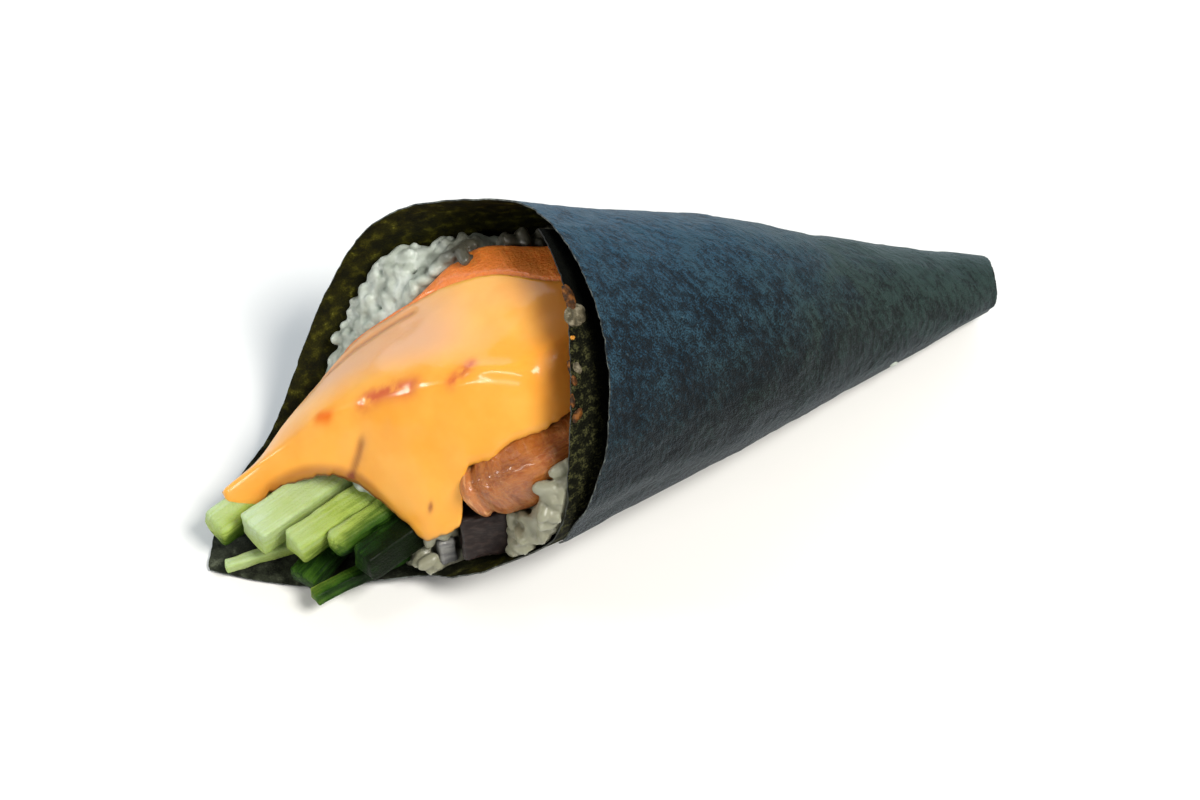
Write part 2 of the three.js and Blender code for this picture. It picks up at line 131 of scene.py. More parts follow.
def waves(points, size, octaves, shift):
    """Smooth noise around zero at each point, its largest waves about `size` mm long."""
    away = Vector((shift, -shift, 0.5 * shift))
    return np.array(
        [noise.fractal(Vector(p) / size + away, 0.55, 2.0, octaves) for p in points.tolist()]
    )


def outer_radius(along, turn):
    """Radius of the roll's outer face: a cone with a low bulge along its top."""
    swelling = BULGE * np.exp(-(((along - BULGE_AT) / BULGE_REACH) ** 2))
    return along * GROWTH + swelling * (1 + np.cos(turn * RAD)) / 2


def cone_point(along, turn, inset):
    """Points `inset` inside the roll's outer face, held just clear of the floor."""
    radius = outer_radius(along, turn) - inset
    points = (
        APEX
        + np.multiply.outer(along, AXIS)
        + np.multiply.outer(radius * np.cos(turn * RAD), UPWARD)
        + np.multiply.outer(radius * np.sin(turn * RAD), NEARWARD)
    )
    beside = np.where(np.abs(np.sin(turn * RAD)) > math.sin(FLOOR_STRIP), OFF_FLOOR, 0.0)
    lift = np.maximum(beside, FLAP_LIFT * rise(along, *FLAP_ALONG))
    points[..., 2] = np.maximum(points[..., 2], lift)
    return points


def stand_off(turn, along):
    """How far the inner turn stands off the outer one, which is only near the mouth."""
    share = np.clip((turn - SPREAD_FROM) / SPREAD_TURNS, 0, 1)
    return MOUTH_SPREAD * np.sin(share * math.pi) * rise(along, *SPREAD_ALONG)


def sheet_inset(turn, along):
    """How deep the sheet's outer face lies under the roll's, at a turn of the sheet."""
    under = ROOM * (1 - rise(turn, *UNDER_UNTIL))
    laid_down = rise(turn, *LAID_DOWN) * (0.5 + stand_off(turn - 360, along))
    return under + stand_off(turn, along) + laid_down


short_edge, long_edge = through(SHORT_EDGE), through(LONG_EDGE)


def start_grid(name, columns, rows):
    """Adds a flat grid with nothing else selected, and returns it with its two shares, 0 to 1."""
    bpy.ops.object.select_all(action="DESELECT")
    bpy.ops.mesh.primitive_grid_add(x_subdivisions=columns, y_subdivisions=rows, size=1.0)
    piece = bpy.context.object
    piece.name = name
    flat = points_of(piece) * MM
    return piece, flat[:, 0] + 0.5, flat[:, 1] + 0.5


def points_of(piece):
    """A piece's vertices in mm."""
    found = np.empty(len(piece.data.vertices) * 3)
    piece.data.vertices.foreach_get("co", found)
    return found.reshape(-1, 3) / MM


def set_points(piece, points):
    piece.data.vertices.foreach_set("co", (np.asarray(points) * MM).ravel())
    piece.data.update()


def set_map(piece, name, u, v):
    """Names the piece's UV map and gives it a value pair at each vertex."""
    corner = np.empty(len(piece.data.loops), int)
    piece.data.loops.foreach_get("vertex_index", corner)
    layer = piece.data.uv_layers[0]
    layer.name = name
    layer.data.foreach_set("uv", np.stack([u[corner], v[corner]], -1).ravel())


def set_mask(piece, name, values):
    """A number at each vertex, or one for all, which a material reads by its name."""
    layer = piece.data.attributes.new(name, "FLOAT", "POINT")
    layer.data.foreach_set("value", np.full(len(piece.data.vertices), values, float))


def select_only(piece):
    bpy.ops.object.select_all(action="DESELECT")
    piece.select_set(True)
    bpy.context.view_layer.objects.active = piece


def edit(piece):
    """Opens a piece in edit mode with all of it selected and nothing else."""
    select_only(piece)
    bpy.ops.object.mode_set(mode="EDIT")
    bpy.ops.mesh.select_all(action="SELECT")


def leave():
    bpy.ops.object.mode_set(mode="OBJECT")


def apply_all(piece):
    """Makes a piece's modifiers part of its mesh."""
    select_only(piece)
    for modifier in list(piece.modifiers):
        bpy.ops.object.modifier_apply(modifier=modifier.name)


def smooth(piece, angle=None):
    """Shades a piece smooth, but for edges sharper than an angle where one is given."""
    select_only(piece)
    if angle:
        bpy.ops.object.shade_smooth_by_angle(angle=angle * RAD)
    else:
        bpy.ops.object.shade_smooth()


def belongs(piece, slot, *nodes):
    """Fixes a piece to the roll, in the place of its plain solids."""
    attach(piece, "root")
    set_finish(piece, slot)
    if nodes:
        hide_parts(*nodes)


def srgb(red, green, sheen_blue):
    """A colour from its 0 to 255 screen values."""
    return tuple(
        (c / 12.92 if c <= 0.04045 else ((c + 0.055) / 1.055) ** 2.4)
        for c in (red / 255, green / 255, sheen_blue / 255)
    ) + (1.0,)


def put(tree, kind, inputs=None, **settings):
    """Adds a shader node, sets it up, and fills or links its inputs."""
    made = tree.nodes.new("ShaderNode" + kind)
    for name, value in settings.items():
        setattr(made, name, value)
    for key, value in (inputs or {}).items():
        if isinstance(value, bpy.types.NodeSocket):
            tree.links.new(value, made.inputs[key])
        else:
            made.inputs[key].default_value = value
    return made


def blend(tree, share, first, second):
    """A colour that goes from the first to the second with a share of 0 to 1."""
    return put(tree, "Mix", {0: share, 6: first, 7: second}, data_type="RGBA").outputs[2]


def ramp(tree, value, stops):
    """A colour read from a value by stops of (value, the colour's screen values)."""
    made = put(tree, "ValToRGB", {0: value})
    colours = made.color_ramp.elements
    colours[0].position, colours[1].position = stops[0][0], stops[-1][0]
    for at, _ in stops[1:-1]:
        colours.new(at)
    for element, (_, colour) in zip(colours, stops):
        element.color = srgb(*colour)
    return made.outputs[0]


def maths(tree, operation, first, second):
    return put(tree, "Math", {0: first, 1: second}, operation=operation).outputs[0]


def weighted(tree, *shares):
    """The sum of some masks, each given with its weight."""
    total = None
    for mask, weight in shares:
        part = maths(tree, "MULTIPLY", mask, weight)
        total = part if total is None else maths(tree, "ADD", total, part)
    return total


def painted(tree, name, output="Fac"):
    """What was set on the piece's vertices under a name."""
    return put(tree, "Attribute", attribute_name=name).outputs[output]


def new_group(name, inputs, output):
    """A shader group with named inputs of (kind, value) and one named output."""
    group = bpy.data.node_groups.new(name, "ShaderNodeTree")
    for label, (kind, value) in inputs.items():
        socket = group.interface.new_socket(name=label, in_out="INPUT", socket_type=kind)
        if value is not None:
            socket.default_value = value
    group.interface.new_socket(name=output, in_out="OUTPUT", socket_type="NodeSocketFloat")
    start = group.nodes.new("NodeGroupInput")
    end = group.nodes.new("NodeGroupOutput")
    return group, start.outputs, end.inputs[output]


# Cloudy patches: noise stretched along one direction, cut to a soft mask between two levels.
cloudy, given, result = new_group(
    "cloudy patches",
    {
        "Place": ("NodeSocketVector", None),
        "Stretch": ("NodeSocketVector", (1, 1, 1)),
        "Fineness": ("NodeSocketFloat", 5.0),
        "Detail": ("NodeSocketFloat", 3.0),
        "Low": ("NodeSocketFloat", 0.4),
        "High": ("NodeSocketFloat", 0.6),
    },
    "Mask",
)
stretched = put(cloudy, "Mapping", {"Vector": given["Place"], "Scale": given["Stretch"]})
clouds = put(
    cloudy,
    "TexNoise",
    {"Vector": stretched.outputs[0], "Scale": given["Fineness"], "Detail": given["Detail"]},
)
levelled = put(
    cloudy,
    "MapRange",
    {"Value": clouds.outputs[0], "From Min": given["Low"], "From Max": given["High"]},
    interpolation_type="SMOOTHSTEP",
)
cloudy.links.new(levelled.outputs[0], result)


def patches(tree, place, fineness, low=0.4, high=0.6, stretch=(1, 1, 1), detail=3.0):
    """A mask of cloudy patches, `fineness` of them to each unit of the place."""
    look = {"Stretch": stretch, "Fineness": fineness, "Detail": detail, "Low": low, "High": high}
    return put(tree, "Group", {"Place": place, **look}, node_tree=cloudy).outputs["Mask"]


# A soft step: 0 up to one distance from the origin along a direction, and 1 past another.
soft_step, given, result = new_group(
    "soft step",
    {
        "Place": ("NodeSocketVector", None),
        "Direction": ("NodeSocketVector", (0, 0, 1)),
        "Low": ("NodeSocketFloat", 0.0),
        "High": ("NodeSocketFloat", 1.0),
    },
    "Mask",
)
distance = put(
    soft_step,
    "VectorMath",
    {0: given["Place"], 1: given["Direction"]},
    operation="DOT_PRODUCT",
)
stepped = put(
    soft_step,
    "MapRange",
    {"Value": distance.outputs["Value"], "From Min": given["Low"], "From Max": given["High"]},
    interpolation_type="SMOOTHSTEP",
)
soft_step.links.new(stepped.outputs[0], result)
UP, TO_TIP = (0, 0, 1), (1, 0, 0)


def beyond(tree, direction, low, high):
    """A soft step between two distances in mm along a direction."""
    place = put(tree, "TexCoord").outputs["Object"]
    step = {"Place": place, "Direction": direction, "Low": low * MM, "High": high * MM}
    return put(tree, "Group", step, node_tree=soft_step).outputs["Mask"]


def new_material(name, **settings):
    """A material with its main shader's plain values set."""
    material = bpy.data.materials.new(name)
    material.use_nodes = True
    shader = material.node_tree.nodes["Principled BSDF"]
    for key, value in settings.items():
        shader.inputs[key.replace("_", " ")].default_value = value
    return material, material.node_tree, shader


def lay_on(tree, shader, colour, height, deep, strength=1.0):
    """A shader's colour, and its fine bumps from a mask, `deep` mm where it is 1."""
    bump = put(tree, "Bump", {"Height": height, "Strength": strength, "Distance": deep * MM})
    tree.links.new(colour, shader.inputs["Base Color"])
    tree.links.new(bump.outputs[0], shader.inputs["Normal"])


# The outer side: green-black, with streaks along the ribs and a fine speckle. The upper part is
# painted blue-grey and the top lighter still, a painted sheen of the cool light from behind.
nori_skin, tree, shader = new_material(
    "nori_outer_side",
    Roughness=0.5,
    Specular_IOR_Level=0.12,
    Sheen_Weight=0.1,
    Sheen_Roughness=0.35,
    Sheen_Tint=(0.6, 0.8, 1.0, 1.0),
)
sheet = put(tree, "UVMap", uv_map="sheet").outputs[0]
speckle = patches(tree, sheet, 30, 0.32, 0.68, detail=4)
streaks = patches(tree, sheet, 6, 0.3, 0.7, stretch=(0.9, 1.5, 1), detail=4)
mottle = patches(tree, sheet, 1.6, 0.3, 0.7, detail=3)
pinholes = patches(tree, sheet, 14, 0.7, 0.78, detail=2)
# Painted sheen: the top is painted lighter, and the upper part blue-grey, for the reflection of the
# cool light from behind; lower down and towards the tip the sheet keeps its own green-black.
painted_top_sheen = maths(tree, "SUBTRACT", painted(tree, "painted_top_sheen"), 0.42)
tone = weighted(
    tree,
    (speckle, 0.44),
    (streaks, 0.32),
    (mottle, 0.24),
    (beyond(tree, TO_TIP, 10, 80), 0.23),
    (painted_top_sheen, 0.4),
)
sheen_blue = ramp(tree, tone, [(0.2, (3, 8, 12)), (0.5, (11, 28, 38)), (0.85, (40, 75, 97))])
green = ramp(tree, tone, [(0.2, (3, 6, 5)), (0.5, (12, 19, 17)), (0.85, (40, 57, 53))])
low_side = maths(tree, "SUBTRACT", 1.0, beyond(tree, UP, 20, 54))
low_side = weighted(tree, (low_side, 1.0), (mottle, 0.35))
near_tip = maths(tree, "MULTIPLY", beyond(tree, TO_TIP, 52, 80), 0.22)
low_side = maths(tree, "MAXIMUM", low_side, near_tip)
colour = blend(tree, put(tree, "Clamp", {0: low_side}).outputs[0], sheen_blue, green)
colour = blend(tree, maths(tree, "MULTIPLY", pinholes, 0.4), colour, srgb(96, 110, 110))
rough = put(tree, "MapRange", {"Value": speckle, "To Min": 0.45, "To Max": 0.65})
tree.links.new(rough.outputs[0], shader.inputs["Roughness"])
grain = weighted(tree, (speckle, 0.5), (streaks, 1.0), (mottle, 0.6))
lay_on(tree, shader, colour, grain, 0.24, 0.8)

# The same side of the inner turn, where it shows at the mouth: damp, dull and olive, and painted
# darker for the shade it lies in under the outer turn; deep in the gap it is painted near black.
nori_under, tree, shader = new_material("nori_inner_turn", Roughness=0.8, Specular_IOR_Level=0.06)
sheet = put(tree, "UVMap", uv_map="sheet").outputs[0]
flecks = patches(tree, sheet, 6, 0.36, 0.7, detail=4)
fine = patches(tree, sheet, 24, 0.34, 0.66)
tone = weighted(tree, (flecks, 0.6), (fine, 0.4))
olive = ramp(tree, tone, [(0.1, (7, 8, 4)), (0.5, (26, 27, 15)), (0.9, (70, 70, 42))])
# Painted shade: near black deep in the gap under the outer turn and at the sheet's start edge.
colour = blend(tree, painted(tree, "painted_shade"), olive, srgb(4, 5, 3))
lay_on(tree, shader, colour, tone, 0.25, 0.7)

# The inner side: olive, with yellow-green flecks where the light comes through the thin weed.
nori_inside, tree, shader = new_material("nori_inner_side", Roughness=0.75, Specular_IOR_Level=0.1)
sheet = put(tree, "UVMap", uv_map="sheet").outputs[0]
flecks = patches(tree, sheet, 4.5, 0.42, 0.72, detail=4)
cloud = patches(tree, sheet, 2.6, 0.4, 0.62, detail=4)
fine = patches(tree, sheet, 30, 0.35, 0.7, detail=3)
tone = weighted(tree, (flecks, 0.5), (cloud, 0.3), (fine, 0.2))
colour = ramp(
    tree,
    tone,
    [
        (0.05, (14, 15, 4)),
        (0.4, (34, 33, 4)),
        (0.75, (62, 61, 13)),
        (1.0, (112, 110, 44)),
    ],
)
grey = ramp(tree, tone, [(0.1, (20, 22, 16)), (0.6, (54, 58, 46)), (1.0, (92, 96, 80))])
on_floor = maths(tree, "SUBTRACT", 1.0, beyond(tree, UP, 2, 9))
colour = blend(tree, on_floor, colour, grey)
lay_on(tree, shader, colour, tone, 0.25, 0.7)

# The cut edge, paler where the fibres are frayed.
nori_edge, tree, shader = new_material("nori_cut_edge", Roughness=0.7)
sheet = put(tree, "UVMap", uv_map="sheet").outputs[0]
frayed = patches(tree, sheet, 8, 0.4, 0.65)
colour = ramp(tree, frayed, [(0.0, (36, 41, 40)), (1.0, (104, 111, 107))])
damp = maths(tree, "MULTIPLY", painted(tree, "damp"), 0.6)
colour = blend(tree, damp, colour, srgb(34, 33, 20))
# Painted shade: the cut edge is near black where it lies deep in the gap under the outer turn.
colour = blend(tree, painted(tree, "painted_shade"), colour, srgb(6, 6, 4))
lay_on(tree, shader, colour, patches(tree, sheet, 25), 0.1)

nori, across, share = start_grid("nori_sheet", NORI_COLUMNS, NORI_ROWS)
even = mix(TURN_START, TURN_END, across)

# The rim and the tip are nicked along their length, and the seam is a little torn.
ring = np.stack([np.cos(even * RAD / 2) * 90, np.sin(even * RAD / 2) * 90, even * 0], -1)
nicks = np.abs(waves(ring, 3.2, 3, 7)) + 0.5 * np.abs(waves(ring, 1.1, 2, 3))
rim = np.where(even < TURN_CORNER, short_edge(even), long_edge(even)) - EDGE_NICKS * nicks
tip = TIP_AT + 0.7 * np.sin(even * RAD * 1.3) + 0.4 * np.sin(even * RAD * 4.1) + 0.3 * nicks
along = mix(tip, rim, share)
seam_slant = 0.12 * (along - 86) - 2.3
turn = even + seam_slant * rise(even, 70, TURN_END)
end_line = np.stack([along, along * 0, along * 0], -1)
turn = turn - 0.55 * np.abs(waves(end_line, 4, 3, 5)) * rise(even, 114, TURN_END)

# The sheet is dented all over, and waves along the free edge at the mouth.
free = rise(share, 0.7, 1) * rise(even, -230, -190) * (1 - rise(even, -60, -20))
base = cone_point(along, turn, sheet_inset(even, along))
crumple = np.clip(0.16 + 0.5 * waves(base, 15, 2, 11) + 0.2 * waves(base, 5, 3, 2), 0, CRUMPLE)
inset = sheet_inset(even, along) + EDGE_WAVE * np.sin(even * 0.11) * free + crumple
set_points(nori, cone_point(along, turn, inset))

# Laid flat the cone is a sector, so its map is in centimetres of the flat sheet, along the ribs.
slant = along / math.cos(HALF_ANGLE)
opened = turn * RAD * math.sin(HALF_ANGLE) - RIB_ANGLE
set_map(nori, "sheet", slant * np.cos(opened) / 10, slant * np.sin(opened) / 10)

# Where the inner turn is damp; a painted sheen along the top, from the cool light behind; and
# painted shade deep inside the roll, under the outer turn and along the sheet's start edge.
inner_turn = 1 - rise(even, -236, -212)
top_sheen_band = (1 - rise(turn, -22, 30)) * rise(turn, -130, -70)
start_edge = 0.98 * (1 - rise(even, -348, -325))
set_mask(nori, "damp", inner_turn * rise(along, 118, 128))
set_mask(nori, "painted_top_sheen", 0.5 * top_sheen_band + 0.5 * rise(np.cos(turn * RAD), 0.1, 1))
set_mask(nori, "painted_shade", np.maximum(inner_turn * (1 - rise(along, 126, 130.5)), start_edge))

# Rolled this way the grid faces inwards, so it is turned, and then gets its wall on the inside,
# whose inner face and rim take the first and second materials after the outer face's.
edit(nori)
bpy.ops.mesh.flip_normals()
leave()
for material in (nori_skin, nori_inside, nori_edge, nori_under, nori_inside, nori_edge):
    nori.data.materials.append(material)
for face in nori.data.polygons:
    face.material_index = 3 if even[face.vertices[0]] < DAMP_TURN else 0
wall = nori.modifiers.new("wall", "SOLIDIFY")
wall.thickness = NORI_THICK * MM
wall.offset = -1
wall.material_offset = 1
wall.material_offset_rim = 2
apply_all(nori)
smooth(nori, 50)
belongs(nori, "nori", "nori_wrap")

# ------------------------------------------------------------------------------------------------
# The cucumber sticks. Cut by hand from a whole cucumber, so each is a little bowed, with flat knife
# faces and eased edges; two of them keep the dark skin. Wet, and paler towards the seed side.
STICKS = [
    # name, middle of the front end, heading, roll, (wide, high, long), edge, how dark and green the
    # middle is, and how much more so one side and the top are
    ("cucumber_far", (-83, 6.6, 6.9), 17, 8, (6.2, 6, 27), 0.9, 0.42, -0.16, -0.2),
    ("cucumber_pale", (-77, 0.4, 10.1), 17, 0, (7.2, 6.6, 50), 0.7, 0.2, -0.02, -0.16),
    ("cucumber_middle", (-71, -5.9, 10.7), 17, 0, (5.6, 5.8, 56), 0.8, 0.38, -0.06, -0.14),
    ("cucumber_round", (-64.3, -9.4, 12.2), 17, 0, (5, 5.4, 50), 1.7, 0.62, -0.2, -0.22),
    ("cucumber_near", (-60.7, -14.7, 11.4), 17, -10, (5.6, 6.2, 44), 0.7, 0.92, -0.1, -0.02),
    ("cucumber_sliver", (-83, 1, 3), -6, 0, (2.2, 2.4, 17), 0.4, 0.22, 0.0, -0.1),
    ("cucumber_skin", (-71, -9.4, 4.5), 31, -9, (6, 3.8, 32), 0.6, 0.86, 0.04, -0.06),
    ("cucumber_thin", (-70.5, -14, 5), 8, -16, (3.2, 2.6, 20), 0.4, 0.62, -0.16, 0.02),
]


def set_vectors(piece, name, values):
    """Three numbers at each vertex, for a pattern's place."""
    layer = piece.data.attributes.new(name, "FLOAT_VECTOR", "POINT")
    layer.data.foreach_set("vector", np.asarray(values, float).ravel())


def cut_block(name, front, heading, roll, size, edge, cuts):
    """A block with rounded edges. Also gives its points, and the same in the block's own frame,
    whose first axis runs back from the middle of the front end, and that frame's three axes."""
    wide, high, long = size
    turn_x, turn_z = roll * RAD, heading * RAD
    cos_x, sin_x = math.cos(turn_x), math.sin(turn_x)
    cos_z, sin_z = math.cos(turn_z), math.sin(turn_z)
    axes = np.array(
        [
            [cos_z, -sin_z * cos_x, sin_z * sin_x],
            [sin_z, cos_z * cos_x, -cos_z * sin_x],
            [0, sin_x, cos_x],
        ]
    )
    centre = np.array(front) + axes[:, 0] * long / 2
    bpy.ops.object.select_all(action="DESELECT")
    bpy.ops.mesh.primitive_cube_add(
        size=1,
        location=centre * MM,
        rotation=(turn_x, 0, turn_z),
        scale=(long * MM, wide * MM, high * MM),
    )
    piece = bpy.context.object
    piece.name = name
    bpy.ops.object.transform_apply(location=True, rotation=True, scale=True)
    edit(piece)
    bpy.ops.mesh.bevel(offset=edge * MM, segments=3, affect="EDGES")
    bpy.ops.mesh.select_mode(type="EDGE")
    bpy.ops.mesh.select_all(action="DESELECT")
    leave()
    points = points_of(piece)
    for side in piece.data.edges:
        run = points[side.vertices[1]] - points[side.vertices[0]]
        side.select = abs(run @ axes[:, 0]) > 0.5 * long
    bpy.ops.object.mode_set(mode="EDIT")
    bpy.ops.mesh.subdivide(number_cuts=cuts)
    leave()
    finer = piece.modifiers.new("finer", "SUBSURF")
    finer.subdivision_type = "SIMPLE"
    finer.levels = 2
    apply_all(piece)
    points = points_of(piece)
    return piece, points, (points - front) @ axes, axes


cucumber, tree, shader = new_material(
    "cucumber",
    Roughness=0.5,
    Specular_IOR_Level=0.07,
    Coat_Weight=0.03,
    Coat_Roughness=0.2,
    Subsurface_Weight=0.22,
    Subsurface_Radius=(0.6, 1.0, 0.3),
    Subsurface_Scale=0.0025,
)
lay = painted(tree, "lay", "Vector")
fibres = patches(tree, lay, 9, 0.3, 0.7, stretch=(0.12, 1.6, 1.6))
blotches = patches(tree, lay, 3, 0.3, 0.7)
wander = maths(tree, "MULTIPLY", maths(tree, "SUBTRACT", fibres, 0.5), 0.12)
level = weighted(tree, (painted(tree, "rind"), 1.0), (wander, 1.0), (blotches, 0.06))
colour = ramp(
    tree,
    level,
    [
        (0.0, (182, 200, 162)),
        (0.2, (168, 187, 126)),
        (0.42, (151, 171, 79)),
        (0.6, (82, 106, 36)),
        (0.74, (54, 86, 24)),
        (0.86, (20, 46, 8)),
        (1.0, (8, 20, 3)),
    ],
)
lay_on(tree, shader, colour, maths(tree, "ADD", fibres, patches(tree, lay, 22)), 0.12, 0.6)

SLICE_LENGTH = 2.2  # between the cuts that let a stick bow
for index, (name, front, heading, roll, size, edge, rind, to_side, to_top) in enumerate(STICKS):
    wide, high, long = size
    stick, points, local, axes = cut_block(
        name + "_stick", front, heading, roll, size, edge, max(6, int(long / SLICE_LENGTH))
    )
    bow = 0.3 * np.sin(local[:, 0] / long * math.pi * 1.3 + index)
    slanted = 0.35 * (local[:, 1] * math.sin(index * 2.1) + local[:, 2] * math.cos(index * 1.7))
    near_front = 1 - rise(local[:, 0], 0, 3)
    uneven = waves(points, 7, 3, index)
    moved = np.stack(
        [
            np.abs(slanted) * 0.35 * near_front + 0.2 * waves(points, 3, 2, index + 9),
            bow * 0.6 - 0.35 * uneven * local[:, 1] / wide,
            bow * 0.25 - 0.35 * uneven * local[:, 2] / high,
        ],
        -1,
    )
    set_points(stick, points + moved @ axes.T)
    level = rind + to_side * local[:, 1] / wide * 2 + to_top * local[:, 2] / high * 2
    # Back from the front end the flesh turns greener and a little darker where it runs in under the
    # sauce: partly its own colour, partly painted shade from the sauce.
    level = level + 0.12 * rise(local[:, 0], 1, 13) - 0.04 * near_front
    set_mask(stick, "rind", np.clip(level + 0.06 * uneven, 0, 1))
    set_vectors(stick, "lay", local / 10 + index)
    stick.data.materials.append(cucumber)
    smooth(stick, 50)
    has_skin = name in ("cucumber_near", "cucumber_skin")
    belongs(stick, "cucumber_skin" if has_skin else "cucumber", name)

# ------------------------------------------------------------------------------------------------
# Two cubes of raw fish at the near side: a dark purple-grey one and a small pale one below it. The
# flesh is soft, so the knife's edges have slumped and the faces are a little hollow.
flesh, tree, shader = new_material(
    "dark_fish",
    Roughness=0.45,
    Specular_IOR_Level=0.25,
    Coat_Weight=0.12,
    Coat_Roughness=0.2,
    Subsurface_Weight=0.15,
    Subsurface_Radius=(1.0, 0.5, 0.4),
    Subsurface_Scale=0.002,
)
lay = painted(tree, "lay", "Vector")
layers = patches(tree, lay, 7, 0.35, 0.65, stretch=(0.6, 1.0, 1.6))
colour = ramp(tree, layers, [(0.0, (33, 25, 24)), (0.6, (40, 32, 30)), (1.0, (52, 42, 39))])
lay_on(tree, shader, colour, layers, 0.1, 0.5)

pale_flesh, tree, shader = new_material(
    "pale_fish",
    Roughness=0.42,
    Coat_Weight=0.2,
    Coat_Roughness=0.2,
    Subsurface_Weight=0.3,
    Subsurface_Radius=(1.0, 0.9, 0.8),
    Subsurface_Scale=0.002,
)
lay = painted(tree, "lay", "Vector")
layers = patches(tree, lay, 6, 0.35, 0.65, stretch=(0.4, 1.2, 2))
colour = ramp(tree, layers, [(0.0, (98, 98, 98)), (1.0, (128, 128, 124))])
lay_on(tree, shader, colour, layers, 0.15, 0.5)

CUBES = [
    # name, middle of the front end, heading, roll, (wide, high, long), edge, material, slot
    ("tuna_block", (-42, -17.4, 13.9), -12, -28, (6, 9.4, 10), 1.1, flesh, "tuna"),
    ("pale_block", (-46, -15.9, 9.2), -8, -18, (4, 5.6, 3.6), 0.8, pale_flesh, "pale_fish"),
]
for index, (name, front, heading, roll, size, edge, paint, slot) in enumerate(CUBES):
    cube, points, local, axes = cut_block(name + "_cube", front, heading, roll, size, edge, 6)
    wide, high, long = size
    half = np.array([long, wide, high]) / 2
    middle = (local - [half[0], 0, 0]) / half
    slump = 0.07 * (1 - np.abs(middle)).clip(0, 1).sum(1, keepdims=True) - 0.02
    uneven = 0.22 * waves(points, 4, 3, index + 20)[:, None]
    local = local - middle * half * slump + uneven * middle
    set_points(cube, local @ axes.T + front)
    set_vectors(cube, "lay", local / 10)
    cube.data.materials.append(paint)
    smooth(cube, 60)
    belongs(cube, slot, name)

# ------------------------------------------------------------------------------------------------
# The salmon: a slice draped under the sauce, which shows at the top of the mouth, and a thick chunk
# at the near side that folds over at its front into a small lobe. Raw, moist, with pale fat lines.

# The heap of filling in plan: x and y along its ridge with the height there, the sauce's near and
# far edges, and how steeply the top falls from the ridge to the near side.
RIDGE = [
    (-84, 10.5, 8.5), (-78, 11.5, 12.2), (-67, 11, 19), (-58, 9, 27.5), (-45, 1, 38.5),
    (-36, -5, 44.5), (-25, -9, 49), (-10, -7, 51), (4, -4, 51),
]
SAUCE_LOW = [
    (-78.8, 9), (-76.7, 8.3), (-73.4, 7.4), (-70, 7.2), (-66.6, 6.3), (-63.5, 4.9), (-59.8, 2.1),
    (-56.7, -0.5), (-55, -2.7), (-52, -8.7), (-50.1, -12.3), (-48.8, -15.2), (-47.5, -17),
    (-44.4, -18.2), (-41.8, -18.4), (-40.8, -17.4), (-39.7, -15.7), (-37.4, -15.2), (-34.9, -16.5),
    (-32.7, -16.6), (-29.4, -17.2), (-24.8, -18.4), (-19.7, -18.1), (-3, -15.5),
]
NEAR_FALL = [
    (-84, 0.5), (-71, 0.48), (-66, 0.36), (-61, 0.31), (-56.5, 0.33), (-52, 0.27), (-47, 0.235),
    (-41, 0.28), (-34.5, 0.325), (-28, 0.32), (-20, 0.26), (-3, 0.18),
]
SAUCE_HIGH = [
    (-78.8, 12.5, 10.3), (-71, 14.5, 12.8), (-64, 18.5, 15.5), (-56, 22, 19), (-47, 23, 27),
    (-37, 20.5, 35.5), (-28, 17.5, 42), (-20, 12.5, 46.5), (-13, 5, 49.5), (-3, 0, 50.5),
]
ridge_y, ridge_z = through(RIDGE, 1), through(RIDGE, 2)
low_y, near_fall = through(SAUCE_LOW), through(NEAR_FALL)
high_y, high_z = through(SAUCE_HIGH, 1), through(SAUCE_HIGH, 2)


def heap_top(x, y):
    """Height of the filling's top, which falls smoothly from its ridge to both sides."""
    away = np.abs(y - ridge_y(x))
    reach = np.abs(high_y(x) - ridge_y(x))
    drop = ridge_z(x) - high_z(x)
    far = drop * np.minimum(away / reach, 1) ** 1.5 + 0.35 * np.maximum(away - reach, 0)
    return ridge_z(x) - np.where(y > ridge_y(x), far, near_fall(x) * away**1.5)


def steepness(x, y):
    """How much more area the heap's top has than its plan, held to what a drape can follow."""
    dx = heap_top(x + 0.5, y) - heap_top(x - 0.5, y)
    dy = heap_top(x, y + 0.5) - heap_top(x, y - 0.5)
    return np.minimum(np.sqrt(1 + dx * dx + dy * dy), 2.4)


def close_up(piece):
    """Joins the edges where a folded or rolled grid meets itself, and turns its faces outwards."""
    edit(piece)
    bpy.ops.mesh.remove_doubles(threshold=1e-6)
    bpy.ops.mesh.normals_make_consistent(inside=False)
    leave()


def drape(name, columns, rows, ends, low, high, below, thick, lip, shape=None):
    """A closed piece spread over the heap from one end to the other, with rounded lips all round.
    Its edges `low` and `high` in plan are functions of x. It lies `below` the heap's top and is
    `thick`, and `shape` raises or sinks its upper side."""
    piece, across, around = start_grid(name, columns, rows)
    across = across * across * (3 - 2 * across) * 0.5 + across * 0.5
    x = mix(ends[0], ends[1], across)
    on_top = around < 0.5
    v = np.where(on_top, 4 * around - 1, 3 - 4 * around)
    v = v * (1.5 - 0.5 * v * v)
    y = mix(ridge_y(x), np.where(v < 0, low(x), high(x)), np.abs(v) ** 0.9)
    leaning = steepness(x, y)
    to_edge = np.abs(np.where(v < 0, low(x), high(x)) - y)
    to_end = np.minimum(x - ends[0], ends[1] - x)
    inward = np.minimum(np.minimum(to_edge * leaning, to_end * 1.3) / lip, 1)
    rounded = np.sqrt(np.clip(1 - (1 - inward) ** 2, 0, 1))
    half = thick(x, v) * leaning / 2
    middle = heap_top(x, y) - below(x, y) * leaning - half
    z = middle + np.where(on_top, 1, -1) * half * rounded
    if shape is not None:
        z = z + shape(x, y) * rounded * np.where(on_top, 1, 0.3)
    set_points(piece, np.stack([x, y, z], -1))
    close_up(piece)
    return piece


